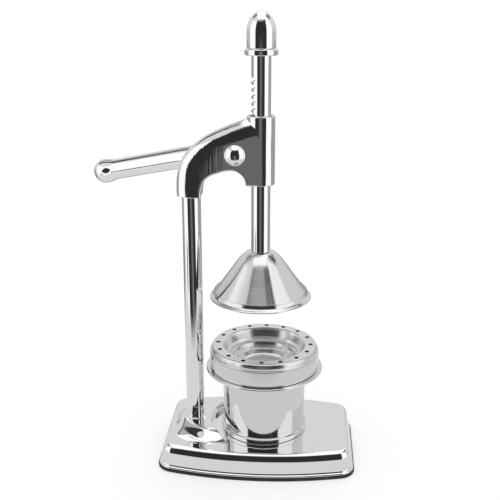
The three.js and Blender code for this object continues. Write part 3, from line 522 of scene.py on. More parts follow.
def faceOutwards(mesh):
    shape = bmesh.new()
    shape.from_mesh(mesh)
    bmesh.ops.recalc_face_normals(shape, faces=shape.faces)
    shape.to_mesh(mesh)
    shape.free()


def finishPiece(name, mesh, finish, body, nodes, keepNormals=False):
    if not keepNormals:
        faceOutwards(mesh)
        mesh.shade_smooth()
    mesh.materials.clear()
    mesh.materials.append(finish)
    made = newObject(name, mesh)
    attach(made, body)
    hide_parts(*nodes)


def softLine(points, steps=6):
    # Rounds each corner that has a softness, with a support point on each side to keep the flats flat
    line = []
    count = len(points)
    for i, point in enumerate(points):
        here = np.array(point[:2], float)
        soft = point[2] if len(point) > 2 else 0
        before = np.array(points[i - 1][:2], float) - here
        after = np.array(points[(i + 1) % count][:2], float) - here
        longBefore, longAfter = np.linalg.norm(before), np.linalg.norm(after)
        if soft <= 0 or i in (0, count - 1):
            line.append(tuple(here))
            continue
        before, after = before / longBefore, after / longAfter
        half = math.acos(max(-1, min(1, float(before @ after)))) / 2
        reach = min(soft / math.tan(half), 0.45 * longBefore, 0.45 * longAfter)
        radius = reach * math.tan(half)
        bisector = (before + after) / np.linalg.norm(before + after)
        centre = here + bisector * radius / math.sin(half)
        start = here + before * reach - centre
        end = here + after * reach - centre
        first = math.atan2(start[1], start[0])
        sweep = (math.atan2(end[1], end[0]) - first + math.pi) % (2 * math.pi) - math.pi
        support = 0.35 * reach
        if longBefore * 0.5 > reach + support:
            line.append(tuple(here + before * (reach + support)))
        for k in range(steps + 1):
            angle = first + sweep * k / steps
            line.append(tuple(centre + radius * np.array([math.cos(angle), math.sin(angle)])))
        if longAfter * 0.5 > reach + support:
            line.append(tuple(here + after * (reach + support)))
    return line


def splineThrough(points, steps):
    # A smooth line through points, carried on straight past both ends
    known = np.array(points, float)
    padded = np.vstack([2 * known[0] - known[1], known, 2 * known[-1] - known[-2]])
    line = []
    for i in range(len(known) - 1):
        a, b, c, d = padded[i:i + 4]
        for k in range(steps):
            t = k / steps
            line.append(0.5 * (2 * b + (c - a) * t + (2 * a - 5 * b + 4 * c - d) * t ** 2
                               + (3 * b - a - 3 * c + d) * t ** 3))
    line.append(known[-1])
    return np.array(line)


def arcLine(centre, radii, start, end, steps):
    angles = np.radians(np.linspace(start, end, steps + 1))
    return [(centre[0] + radii[0] * math.cos(a), centre[1] + radii[1] * math.sin(a)) for a in angles]


def spinMesh(profile, finish, steps=112, place=None, closed=True):
    line = list(profile) + ([profile[0]] if closed else [])
    source = bpy.data.meshes.new("profile")
    source.from_pydata([(r * mm, 0, z * mm) for r, z in line], [(i, i + 1) for i in range(len(line) - 1)], [])
    mesh = growMesh(source, spinTree, {"Steps": steps, "Finish": finish})
    if place is not None:
        mesh.transform(place)
    return mesh


def spinPiece(name, profile, finish, body, nodes, steps=112, place=None, closed=True):
    finishPiece(name, spinMesh(profile, finish, steps, place, closed), finish, body, nodes)


def tubeLine(bore, radius, low, high, lowEdge, highEdge):
    # A tube, collar or washer with softened outer edges
    return softLine([(bore, low), (radius, low, lowEdge), (radius, high, highEdge), (bore, high)])


def moveTo(x=0, y=0, z=0):
    return Matrix.Translation((x * mm, y * mm, z * mm))


# Column: a polished tube between the base and the head
column = {"radius": 9, "bore": 6.6, "edge": 0.12}
columnX = middleX("column_tube")
spinPiece("column", tubeLine(column["bore"], column["radius"], *heights("column_tube"), column["edge"],
                             column["edge"]), chrome, "frame", ["column_tube"], 128, moveTo(columnX))
print("press: column made")


# Base: bowed casting with a mound and a flare round the column's foot, on a rubber mat
base = {
    "shift": -1.5, "width": 192, "depth": 134, "corner": 17, "bow": 350, "points": 240,
    "sector": 66, "sectorPoints": 380,  # half width in degrees of the finer part at the column, and its points
    "mat": 3, "gap": 0.3, "lip": 1, "hem": ((0.3, 0), (0.08, 0.1)), "hemHeight": 0.3, "wall": 5, "height": 24.9,
    "foot": ((1.6, 0, 58, False), (2.6, 58, 6, True)),  # arcs of the foot: radius, degrees, whether turned in
    "draft": 1, "wallRows": (0.3, 0.6, 0.85, 0.96),
    "shoulder": ((15, 6, 32), (4.9, 32, 90)),  # arcs of the upper edge: radius, degrees
    "topRows": 80, "seat": 50.2, "seatRows": (40, 25, 10, 2), "outline": 3600,
    "seatEdge": ((0.12, 0.04), (0.3, 0.16), (0.4, 0.34)),  # where the mound ends at the seat: inward, down
    "seatFoot": ((0.4, 0.7), (0.55, 0.3), (0.85, 0.08), (1.3, 0.0)),  # and inward, up
}
mound = {
    "height": 8, "left": 21.5, "right": 90, "leftDraw": 0.5, "rightDraw": 0.3, "sideRoundness": 0.8,
    "front": (38, 45), "frontDraw": (0.8, 0.4), "between": (-80, -48), "frontRoundness": 0.7, "halvings": 22,
    "flareRadius": 11, "flareHeight": 2, "flareSeam": 9.7, "flareFall": 10, "neckHigh": 45.7, "blend": 1,
}


def softMin(a, b, blend):
    # The lower of two, rounded over where they are closer than the blend
    near = np.maximum(blend - np.abs(a - b), 0) / blend
    return np.minimum(a, b) - near ** 2 * blend / 4


def softMax(a, b, blend):
    return -softMin(-a, -b, blend)


def baseOutline(inset, angles=None):
    # Bowed front and back, straight sides and round corners, as points or at given angles about the plunger
    halfWidth, halfDepth = base["width"] / 2 - inset, base["depth"] / 2 - inset
    corner, bow = base["corner"] - inset, base["bow"] - inset
    cornerX, bowCentre = halfWidth - corner, bow - halfDepth
    cornerY = math.sqrt((bow - corner) ** 2 - cornerX ** 2) - bowCentre
    turn = math.degrees(math.atan2(cornerX, bowCentre + cornerY))
    points = [
        *arcLine((0, bowCentre), (bow, bow), -90 - turn, -90 + turn, 240),
        *arcLine((cornerX, -cornerY), (corner, corner), -90 + turn, 0, 90),
        *arcLine((cornerX, cornerY), (corner, corner), 0, 90 - turn, 90),
        *arcLine((0, -bowCentre), (bow, bow), 90 - turn, 90 + turn, 240),
        *arcLine((-cornerX, cornerY), (corner, corner), 90 + turn, 180, 90),
        *arcLine((-cornerX, -cornerY), (corner, corner), 180, 270 - turn, 90),
    ]
    points = np.vstack([points, points[:1]]) + (base["shift"], 0)
    run = np.concatenate([[0], np.cumsum(np.linalg.norm(np.diff(points, axis=0), axis=1))])
    even = np.linspace(0, run[-1], base["outline"], endpoint=False)
    points = np.stack([np.interp(even, run, points[:, 0]), np.interp(even, run, points[:, 1])], 1)
    if angles is None:
        return points
    around = np.arctan2(points[:, 1], points[:, 0])
    order = np.argsort(around)
    radius = np.interp(angles, around[order], np.hypot(points[:, 0], points[:, 1])[order], period=2 * math.pi)
    return np.stack([radius * np.cos(angles), radius * np.sin(angles)], 1)


def baseAngles():
    # Even steps along the outline as angles about the plunger's axis, with finer ones towards the column
    points = baseOutline(0)[::base["outline"] // base["points"]]
    around = np.arctan2(points[:, 1], points[:, 0])
    half = math.radians(base["sector"])
    coarse = around[np.abs(around) < math.pi - half]
    fine = math.pi + np.linspace(-half, half, base["sectorPoints"])
    return np.sort(np.concatenate([coarse, (fine + math.pi) % (2 * math.pi) - math.pi]))


def moundHeight(x, y):
    # Height of the mound over the base's top: the share of the rise at which its outline meets the point
    side, depth = x - columnX, np.abs(y)
    low, high = np.zeros_like(x), np.ones_like(x)
    left = side < 0
    reach = np.where(left, mound["left"], mound["right"])
    draw = np.where(left, mound["leftDraw"], mound["rightDraw"])
    share = np.clip((x - mound["between"][0]) / (mound["between"][1] - mound["between"][0]), 0, 1)
    share = share * share * (3 - 2 * share)
    reachFront, frontDraw = (a + (b - a) * share for a, b in (mound["front"], mound["frontDraw"]))

    def outside(rise):
        across = np.abs(side) / (reach * (1 - draw * rise))
        along = depth / (reachFront * (1 - frontDraw * rise))
        return across ** (2 / mound["sideRoundness"]) + along ** (2 / mound["frontRoundness"]) > 1

    for _ in range(mound["halvings"]):
        middle = (low + high) / 2
        beyond = outside(middle)
        high = np.where(beyond, middle, high)
        low = np.where(beyond, low, middle)
    hump = mound["height"] * (1 - np.cos(math.pi * low)) / 2
    away = np.hypot(side, depth)
    swept = mound["flareRadius"] - column["radius"]
    sine = np.clip((mound["flareRadius"] - away) / swept, 0, (mound["flareRadius"] - mound["flareSeam"]) / swept)
    flare = mound["height"] + mound["flareHeight"] * (1 - np.sqrt(1 - sine ** 2))
    flare = flare - np.maximum(away - mound["flareRadius"], 0) ** 2 / mound["flareFall"]
    return softMax(hump, flare, mound["blend"])


def ringMesh(rings):
    # Skins rings of equal count and closes both ends with a fan
    count = len(rings[0])
    points = np.vstack(rings)
    faces = []
    for row in range(len(rings) - 1):
        for i in range(count):
            a, b = row * count + i, row * count + (i + 1) % count
            faces.append((a, b, b + count, a + count))
    for row in (0, len(rings) - 1):
        middle = points[row * count:(row + 1) * count].mean(0)
        points = np.vstack([points, middle])
        hub = len(points) - 1
        faces += [(row * count + i, row * count + (i + 1) % count, hub) for i in range(count)]
    mesh = bpy.data.meshes.new("rings")
    mesh.from_pydata((points * mm).tolist(), [], faces)
    return mesh


def atHeight(points, height):
    return np.column_stack([points, np.full(len(points), height)])


def buildBase():
    angles = baseAngles()
    low = base["mat"] + base["gap"]
    edge = [(base["lip"] + inset, low + rise) for inset, rise in ((base["wall"], 0), *base["hem"])]
    place = (base["lip"], low + base["hemHeight"])
    for radius, first, last, hollow in base["foot"]:
        turn = -1 if hollow else 1
        for k in range(11):
            angle = first + (last - first) * k / 10
            edge.append((
                place[0] + turn * radius * (math.cos(math.radians(first)) - math.cos(math.radians(angle))),
                place[1] + turn * radius * (math.sin(math.radians(angle)) - math.sin(math.radians(first))),
            ))
        place = edge[-1]
    wallInset, wallLow = place
    top = base["height"]
    shoulder = [(wallInset + base["draft"], 0)]
    for radius, first, last in base["shoulder"]:
        start = shoulder[-1]
        for angle in np.radians(np.linspace(first, last, 13)[1:]):
            shoulder.append((start[0] + radius * (math.cos(math.radians(first)) - math.cos(angle)),
                             start[1] + radius * (math.sin(angle) - math.sin(math.radians(first)))))
    rimInset, rise = shoulder[-1]
    rings = [atHeight(baseOutline(point[0], angles), point[1]) for point in edge]
    wallTop = top - rise
    for share in base["wallRows"]:
        inset = wallInset + base["draft"] * share
        rings.append(atHeight(baseOutline(inset, angles), wallLow + (wallTop - wallLow) * share))
    rings += [atHeight(baseOutline(inset, angles), wallTop + height) for inset, height in shoulder]
    rim = baseOutline(rimInset, angles)
    seat = base["seat"] * np.stack([np.cos(angles), np.sin(angles)], 1)
    for k in range(1, base["topRows"] + 1):
        share = k / base["topRows"]
        points = rim * (1 - share) + seat * share
        rings.append(np.column_stack([points, top + moundHeight(points[:, 0], points[:, 1])]))
    crest = rings[-1]
    for inward, drop in base["seatEdge"]:
        ring = crest.copy()
        ring[:, :2] *= 1 - inward / base["seat"]
        ring[:, 2] = top + np.maximum(crest[:, 2] - top - drop, 0)
        rings.append(ring)
    for inward, rise in base["seatFoot"]:
        ring = crest.copy()
        ring[:, :2] *= 1 - inward / base["seat"]
        ring[:, 2] = top + np.minimum(np.maximum(crest[:, 2] - top - 0.4, 0), rise)
        rings.append(ring)
    for radius in base["seatRows"]:
        rings.append(atHeight(seat * radius / base["seat"], top))
    # The open underside over the mat
    inner = [(wallInset + base["wall"], wallTop - base["wall"] / 2), (rimInset + base["wall"], top - base["wall"])]
    under = [atHeight(baseOutline(inset, angles), height) for inset, height in reversed(inner)]
    return ringMesh(under + rings)


def flareLine():
    # The steep upper part of the flare round the column's foot
    ground = base["height"] + mound["height"]
    swept = mound["flareRadius"] - column["radius"]
    first = math.asin((mound["flareRadius"] - mound["flareSeam"]) / swept)
    curve = []
    for k in range(25):
        angle = first + (math.pi / 2 - first) * k / 24
        radius = mound["flareRadius"] - swept * math.sin(angle)
        curve.append((radius, ground + mound["flareHeight"] * (1 - math.cos(angle))))
    top = mound["neckHigh"]
    return [(mound["flareSeam"], ground), *curve, (column["radius"], ground + mound["flareHeight"] + 1),
            (column["radius"], top - 0.6), (column["radius"], top), (column["bore"] + 0.3, top),
            (column["bore"] + 0.3, ground)]


def joinMeshes(name, meshes):
    shape = bmesh.new()
    for mesh in meshes:
        shape.from_mesh(mesh)
    joined = bpy.data.meshes.new(name)
    shape.to_mesh(joined)
    shape.free()
    return joined


baseMesh = joinMeshes("base", [buildBase(), spinMesh(flareLine(), castChrome, 128, moveTo(columnX))])
finishPiece("base", baseMesh, castChrome, "frame", ["base_shell"])

matAngles = baseAngles()
matEdge = [  # inward, up
    (1.5, 0), (0.75, 0.02), (0.3, 0.2), (0.08, 0.5), (0, 0.9), (0, 1.5), (0, 2.1), (0.08, 2.5), (0.3, 2.8),
    (0.75, 2.98), (1.5, 3),
]
matMesh = ringMesh([atHeight(baseOutline(inset, matAngles), height) for inset, height in matEdge])
finishPiece("mat", matMesh, rubber, "frame", ["base_mat"])
print("press: base and mat made")


# Cast shapes: a distance field in millimetres is skinned with a fine net, so the mirror stays smooth
def fieldSlope(field, points, step=0.04):
    slope = np.empty_like(points)
    for axis in range(3):
        offset = np.zeros(3)
        offset[axis] = step
        slope[:, axis] = (field(points + offset) - field(points - offset)) / (2 * step)
    return slope


def skinField(name, field, low, high, cell):
    axes = [np.arange(a - 2 * cell, b + 3 * cell, cell) for a, b in zip(low, high)]
    grid = np.stack(np.meshgrid(*axes, indexing="ij"), -1)
    shape = grid.shape[:3]
    values = field(grid.reshape(-1, 3)).reshape(shape)
    cells = tuple(size - 1 for size in shape)
    total, hits = np.zeros((*cells, 3)), np.zeros(cells)
    crossings = []
    for axis in range(3):
        start = [slice(None)] * 3
        stop = [slice(None)] * 3
        start[axis], stop[axis] = slice(0, -1), slice(1, None)
        a, b = values[tuple(start)], values[tuple(stop)]
        crossed = (a < 0) != (b < 0)
        share = np.where(crossed, a / np.where(crossed, a - b, 1), 0)
        place = grid[tuple(start)].copy()
        place[..., axis] += share * cell
        others = [other for other in range(3) if other != axis]
        for first in (0, 1):
            for second in (0, 1):
                part = [slice(None)] * 3
                part[others[0]] = slice(first, cells[others[0]] + first)
                part[others[1]] = slice(second, cells[others[1]] + second)
                cut = crossed[tuple(part)]
                total += place[tuple(part)] * cut[..., None]
                hits += cut
        crossings.append((axis, others, crossed, a < 0))
    used = hits > 0
    index = np.full(cells, -1)
    index[used] = np.arange(used.sum())
    points = total[used] / hits[used][:, None]
    faces = []
    for axis, others, crossed, inside in crossings:
        found = np.argwhere(crossed)
        keep = np.all([(found[:, other] > 0) & (found[:, other] < cells[other]) for other in others], axis=0)
        found = found[keep]
        corners = []
        for first, second in ((1, 1), (0, 1), (0, 0), (1, 0)):
            at = found.copy()
            at[:, others[0]] -= first
            at[:, others[1]] -= second
            corners.append(index[at[:, 0], at[:, 1], at[:, 2]])
        quads = np.stack(corners, 1)
        flip = inside[found[:, 0], found[:, 1], found[:, 2]] == (axis == 1)
        quads[flip] = quads[flip][:, ::-1]
        faces.append(quads)
    for _ in range(4):
        slope = fieldSlope(field, points)
        move = field(points)[:, None] * slope / np.maximum((slope ** 2).sum(1), 0.05)[:, None]
        length = np.linalg.norm(move, axis=1)[:, None]
        points = points - move * np.minimum(1, 0.4 * cell / np.maximum(length, 1e-9))
    mesh = bpy.data.meshes.new(name)
    mesh.from_pydata((points * mm).tolist(), [], np.vstack(faces).tolist())
    return mesh, points


def smoothField(mesh, field, points):
    # Faces outwards, and takes the shading from the field itself
    faceOutwards(mesh)
    mesh.shade_smooth()
    slope = fieldSlope(field, points)
    slope /= np.maximum(np.linalg.norm(slope, axis=1), 1e-9)[:, None]
    mesh.normals_split_custom_set_from_vertices(slope.tolist())


def tubeDistance(across, along, radius, low, high, edge):
    # A solid cylinder with rounded ends: distance from its wall and from its two faces
    middle, half = (low + high) / 2, (high - low) / 2
    return softMax(across - radius, np.abs(along - middle) - half, edge)


pivot = [value / mm for value in frame["record"]["behaviour"]["joints"][0]["pos_m"]]
head = {
    "low": 262.4, "height": 75.8, "leg": 12.5, "guide": 13, "drop": 63.7, "archEdge": 2.4, "guideEdge": 1.2,
    "rodRoom": 9.7, "bushSeat": 10.85, "bushUpper": 13.3, "bushLower": 11.3, "columnSeat": 9.3, "columnGrip": 29,
    "boss": 12.4, "bossLength": 3.5, "shaftSeat": 7.85, "roomRadius": 18.75, "roomWidth": 12.7,
    "screwSeat": 3.3, "screwHeights": (8, 20), "fall": 0.05, "fallFrom": -36, "fallSoft": 10,
    "rimFall": 0.1, "rimFrom": 4, "rimSoft": 3, "seatEdge": 0.2, "holeEdge": 0.5, "bossEdge": 1.0, "bossBlend": 1.5,
    "footEdge": 1.0, "cell": 0.7,
}
armShares = [  # outer line of the head: shares of its reach and height
    (-1.014, 0), (-1.014, 0.157), (-1, 0.299), (-0.962, 0.427), (-0.902, 0.531), (-0.818, 0.627),
    (-0.694, 0.726), (-0.57, 0.799), (-0.407, 0.873), (-0.243, 0.938), (-0.1, 0.985),
]
archShares = [  # and the line of the arch under it
    (-0.174, 0.16), (-0.178, 0.19), (-0.192, 0.244), (-0.217, 0.283), (-0.25, 0.312), (-0.29, 0.336),
    (-0.336, 0.345), (-0.398, 0.341), (-0.447, 0.331), (-0.497, 0.313), (-0.563, 0.29), (-0.61, 0.264),
    (-0.643, 0.236), (-0.669, 0.206), (-0.687, 0.166), (-0.7, 0.122), (-0.708, 0.079), (-0.714, 0),
]
headReach = -columnX + head["leg"]


def fromShares(shares):
    return np.array([(x * headReach, head["low"] + head["height"] * z) for x, z in shares])


def nearestOnLine(x, z, line):
    best = np.full(x.shape, np.inf)
    share, offset = np.zeros(x.shape), np.zeros(x.shape)
    for i in range(len(line) - 1):
        a, run = line[i], line[i + 1] - line[i]
        t = np.clip(((x - a[0]) * run[0] + (z - a[1]) * run[1]) / (run @ run), 0, 1)
        outX, outZ = x - a[0] - t * run[0], z - a[1] - t * run[1]
        distance = outX ** 2 + outZ ** 2
        closer = distance < best
        best = np.where(closer, distance, best)
        share = np.where(closer, i + t, share)
        offset = np.where(closer, np.sqrt(distance), offset)
    return share, offset


def polygonDistance(x, z, corners):
    # Signed distance to a closed outline, negative inside
    _, distance = nearestOnLine(x, z, np.vstack([corners, corners[:1]]))
    inside = np.zeros(x.shape, bool)
    for (ax, az), (bx, bz) in zip(corners, np.roll(corners, -1, axis=0)):
        rising = (az > z) != (bz > z)
        meets = (bx - ax) * (z - az) / (bz - az if bz != az else 1e-9) + ax
        inside ^= rising & (x < meets)
    return np.where(inside, -distance, distance)


armLine = splineThrough(fromShares(armShares), 5)
archLine = splineThrough(fromShares(archShares), 3)
below, beyond = head["low"] - 60, 90
slabOutline = np.vstack([[(armLine[0][0], below)], armLine, [(beyond, armLine[-1][1] + 20), (beyond, below)]])
archOutline = np.vstack([[(beyond, below), (beyond, archLine[0][1])], archLine, [(archLine[-1][0] + 0.2, below)]])


def headField(points):
    # A flat-faced web with a full-round outer edge, as deep as the guide, cut by the arch
    x, y, z = points[:, 0], points[:, 1], points[:, 2]
    low, high, half = head["low"], head["low"] + head["height"], head["guide"]
    guideLow = high - head["drop"]
    out = polygonDistance(x, z, slabOutline) + half
    toLeg = head["fallFrom"] - x
    toRim = head["rimFrom"] + out
    fall = (head["fall"] * (toLeg + np.hypot(toLeg, head["fallSoft"]))
            + head["rimFall"] * (toRim + np.hypot(toRim, head["rimSoft"])))
    depth = np.abs(y) + fall / 2 * np.minimum(np.abs(y) / half, 1) ** 2
    slab = np.where(out > 0, np.hypot(np.maximum(out, 0), depth), depth) - half
    slab = softMax(slab, -polygonDistance(x, z, archOutline), head["archEdge"])
    slab = softMax(slab, low - z, head["footEdge"])
    slab = np.maximum(slab, x)
    guide = tubeDistance(np.hypot(x, y), z, head["guide"], guideLow, high, head["guideEdge"])
    fromPivot = np.hypot(x - pivot[0], z - pivot[2])
    backFace = half + head["bossLength"]
    boss = tubeDistance(fromPivot, y, head["boss"], 0, backFace, head["bossEdge"])
    solid = np.minimum(slab, guide)
    solid = np.where(y > 0, softMin(solid, boss, head["bossBlend"]), solid)
    fromRod, fromColumn = np.hypot(x, y), np.hypot(x - columnX, y)
    soft, room = head["seatEdge"], head["roomRadius"]
    inRoom = np.abs(y) - head["roomWidth"] / 2
    holes = [
        fromRod - head["rodRoom"],
        softMax(fromRod - head["bushSeat"], high - head["bushUpper"] - z, soft),
        softMax(fromRod - head["bushSeat"], z - guideLow - head["bushLower"], soft),
        softMax(fromColumn - head["columnSeat"], z - low - head["columnGrip"], soft),
        fromPivot - head["shaftSeat"],
        np.maximum(fromPivot - room, inRoom),
        np.maximum.reduce([pivot[0] - room - x, x, inRoom, z - pivot[2]]),
    ]
    for height in head["screwHeights"]:
        screw = np.hypot(x - columnX, z - low - height) - head["screwSeat"]
        holes.append(np.maximum(screw, -y))
    for hole in holes:
        solid = softMax(solid, -hole, head["holeEdge"])
    return solid


headMesh, headPoints = skinField(
    "head", headField, (-headReach - 2, -head["guide"], head["low"]),
    (head["guide"], head["guide"] + head["bossLength"], head["low"] + head["height"]), head["cell"],
)
smoothField(headMesh, headField, headPoints)
finishPiece("head", headMesh, headChrome, "frame", ["head_casting"], keepNormals=True)
print("press: head made")


# Plunger: rack rod, stop collar, knob and bell
rack = {
    "radius": 9, "edge": 0.3, "root": 4.85, "pitch": 2 * math.pi, "count": 16, "reach": 67.2, "rootHalf": 0.83,
    "slope": math.tan(math.radians(20)), "stud": 5, "studLength": 20, "sharpFrom": 25,
}


def makeRackTree():
    # Cuts a row of tooth gaps with sloping flanks
    tree, given, put = newGroup("cutRack", "GeometryNodeTree", [
        ("Rod", "NodeSocketGeometry", None), ("Count", "NodeSocketInt", 16), ("Pitch", number, 0.006),
        ("First", number, 0.3), ("Root", number, 0.005), ("Root Half", number, 0.001), ("Slope", number, 0.36),
        ("Finish", "NodeSocketMaterial", None),
    ], [("Piece", "NodeSocketGeometry")])
    reach, depth, height = 0.006, 0.03, 0.002  # the cutter, before its flanks are set
    cube = addNode(tree, "GeometryNodeMeshCube", {"Size": (reach, depth, height)}).outputs["Mesh"]
    here = parts(tree, addNode(tree, "GeometryNodeInputPosition").outputs[0])
    outward = calc(tree, "SUBTRACT", reach / 2, here["X"])
    flank = calc(tree, "ADD", given["Root Half"], calc(tree, "MULTIPLY", outward, given["Slope"]))
    inward = calc(tree, "SUBTRACT", calc(tree, "SUBTRACT", here["X"], reach / 2), given["Root"])
    side = calc(tree, "MULTIPLY", calc(tree, "SIGN", here["Z"]), flank)
    cutter = addNode(tree, "GeometryNodeSetPosition", {
        "Geometry": cube, "Position": fromParts(tree, X=inward, Y=here["Y"], Z=side),
    }).outputs[0]
    row = addNode(tree, "GeometryNodeMeshLine", {
        "Count": given["Count"], "Start Location": fromParts(tree, Z=given["First"]),
        "Offset": fromParts(tree, Z=calc(tree, "MULTIPLY", given["Pitch"], -1.0)),
    }).outputs[0]
    return endTree(tree, cutWith(tree, given["Rod"], row, cutter), given, put)


rodLow, rodHigh = heights("rack_rod")[0], heights("stop_collar")[0]
rodMesh = spinMesh(softLine([
    (0, rodLow), (rack["radius"], rodLow, rack["edge"]), (rack["radius"], rodHigh, rack["edge"]),
    (rack["stud"], rodHigh, 0.2), (rack["stud"], rodHigh + rack["studLength"]), (0, rodHigh + rack["studLength"]),
]), rackChrome, 128, closed=False)
faceOutwards(rodMesh)
rodMesh = growMesh(rodMesh, makeRackTree(), {
    "Count": rack["count"], "Pitch": rack["pitch"] * mm, "First": (pivot[2] + rack["reach"]) * mm,
    "Root": rack["root"] * mm, "Root Half": rack["rootHalf"] * mm, "Slope": rack["slope"], "Finish": rackChrome,
})
rodMesh.shade_smooth()
rodMesh.set_sharp_from_angle(angle=math.radians(rack["sharpFrom"]))
finishPiece("rod", rodMesh, rackChrome, "plunger", ["rack_rod"], keepNormals=True)

collar = {"radius": 15.1, "edge": 1.2, "bore": 5.3}
spinPiece("stopCollar", tubeLine(collar["bore"], collar["radius"], *heights("stop_collar"), collar["edge"],
                                 collar["edge"]), chrome, "plunger", ["stop_collar"], 128)

knob = {"radius": 13.2, "straight": 14, "edge": 0.8, "bore": 5.3, "boreDepth": 15}
knobLow, knobHigh = heights("knob")
knobTurn = knobLow + knob["straight"]
spinPiece("knob", [
    *softLine([(0, knobLow + knob["boreDepth"]), (knob["bore"], knobLow + knob["boreDepth"]),
               (knob["bore"], knobLow), (knob["radius"], knobLow, knob["edge"]), (knob["radius"], knobTurn)]),
    *arcLine((0, knobTurn), (knob["radius"], knobHigh - knobTurn), 0, 90, 40)[1:],
], chrome, "plunger", ["knob"], 128, closed=False)

bell = {
    "radius": 48.9, "topRadius": 12.4, "wall": 1.4, "disc": 3, "bore": 3.3, "topEdge": 2.2, "steps": 8,
    "lip": ((1.1, -0.02), (0.7, 0), (0.25, 0.2), (0.03, 0.55)),  # its rounded edge: inward, up
}
bellShares = [  # outside of the bell from lip to top: shares of its spread and height
    (1, 0.008), (0.995, 0.022), (0.972, 0.036), (0.937, 0.05), (0.91, 0.067), (0.89, 0.092),
    (0.872, 0.119), (0.853, 0.142), (0.832, 0.162), (0.58, 0.44),
    (0.4, 0.645), (0.225, 0.84), (0.08, 0.955),
]
bellLow, bellHigh = heights("bell")


def bellLine():
    spread, tall = bell["radius"] - bell["topRadius"], bellHigh - bellLow
    known = [(bell["topRadius"] + spread * out, bellLow + tall * up) for out, up in bellShares]
    outside = splineThrough(known, bell["steps"])
    run = np.gradient(outside, axis=0)
    run /= np.linalg.norm(run, axis=1)[:, None]
    inside = outside + bell["wall"] * np.stack([-run[:, 1], run[:, 0]], 1)
    ceiling = bellHigh - bell["disc"]
    inside = [tuple(point) for point in inside if point[1] < ceiling - bell["wall"]][::-1]
    top = softLine([tuple(outside[-1]), (bell["topRadius"], bellHigh, bell["topEdge"]), (bell["bore"], bellHigh)], 10)
    low = [(bell["radius"] - inward, bellLow + rise) for inward, rise in ((bell["wall"], 0), *bell["lip"])]
    return [*low, *[tuple(point) for point in outside[:-1]], *top, (bell["bore"], ceiling),
            (bell["topRadius"], ceiling), *inside]


spinPiece("bell", bellLine(), spunSteel, "plunger", ["bell"], 160)

fixing = {"hole": 3.3, "washer": 8, "head": 5.4, "socket": 2.4, "socketDepth": 1.4, "screw": 3, "gap": 0.3}
washerLow, washerHigh = heights("bell_washer")
spinPiece("bellWasher", tubeLine(fixing["hole"], fixing["washer"], washerLow, washerHigh, 0.3, 0.2),
          plainSteel, "plunger", ["bell_washer"], 64)
screwLow, screwHigh = heights("bell_screw")
socketHigh, headHigh = screwLow + fixing["socketDepth"], washerLow - fixing["gap"]
spinPiece("bellScrew", softLine([
    (0, socketHigh), (fixing["socket"], socketHigh, 0.2), (fixing["socket"], screwLow, 0.2),
    (fixing["head"], screwLow, 1.3), (fixing["head"], headHigh, 0.2), (fixing["screw"], headHigh),
    (fixing["screw"], screwHigh), (0, screwHigh),
]), plainSteel, "plunger", ["bell_screw"], 64, closed=False)
print("press: plunger made")


# Cup with its rolled flange, and the drip ring on it
cupLow, cupHigh = heights("cup")
cup = {
    "radius": 41, "taper": 0.9, "wall": 1.2, "footLip": 2.3, "footHeight": 6, "recess": 2.4, "shoulder": 2,
    "flange": 57.4, "bead": 1.2,
}
foot = cup["radius"] - cup["taper"] + cup["footLip"]
narrow = cup["radius"] - cup["taper"]
wall = cup["wall"]
beadX = cup["flange"] - cup["bead"]
spinPiece("cup", [
    *softLine([
        (0, cupLow + cup["recess"]), (foot - 2 * wall, cupLow + cup["recess"], 0.5), (foot - wall, cupLow, 0.25),
        (foot, cupLow, 0.9), (foot, cupLow + cup["footHeight"] - 1.6, 2),
        (narrow, cupLow + cup["footHeight"] - 0.9, 0.9), (cup["radius"], cupHigh - wall, cup["shoulder"]),
        (beadX - cup["bead"], cupHigh - wall, 0.3), (beadX, cupHigh - 2 * cup["bead"]),
    ], 8),
    *arcLine((beadX, cupHigh - cup["bead"]), (cup["bead"], cup["bead"]), -90, 90, 14)[1:],
    *softLine([
        (beadX - 0.5, cupHigh), (cup["radius"] - wall, cupHigh, cup["shoulder"] + 1),
        (narrow - wall, cupLow + cup["footHeight"], 1), (narrow - 2 * wall, cupLow + cup["recess"] + wall, 3),
        (0, cupLow + cup["recess"] + wall),
    ], 8),
], polishedSteel, "cup", ["cup"], 160, moveTo(cupX), closed=False)

ring = {"radius": 53.6, "spigotDrop": 5, "soft": 0.6, "edge": 0.25, "gap": 0.3}
ringLow, ringHigh = cupHigh + ring["gap"], heights("drip_ring")[1]
spigot = cup["radius"] - wall - ring["gap"]
spigotLow = ringLow - ring["spigotDrop"]
spinPiece("dripRing", softLine([
    (spigot - wall, spigotLow), (spigot - 0.3, spigotLow, 0.2), (spigot - 0.3, ringLow, 0.3),
    (ring["radius"], ringLow, ring["soft"]), (ring["radius"], ringHigh, ring["edge"]),
    (ring["radius"] - wall, ringHigh, ring["edge"]), (ring["radius"] - wall, ringLow + wall, 1),
    (spigot - wall, ringLow + wall, 0.4), (spigot - wall, spigotLow + 0.1),
]), polishedSteel, "cup", ["drip_ring"], 160, moveTo(cupX))


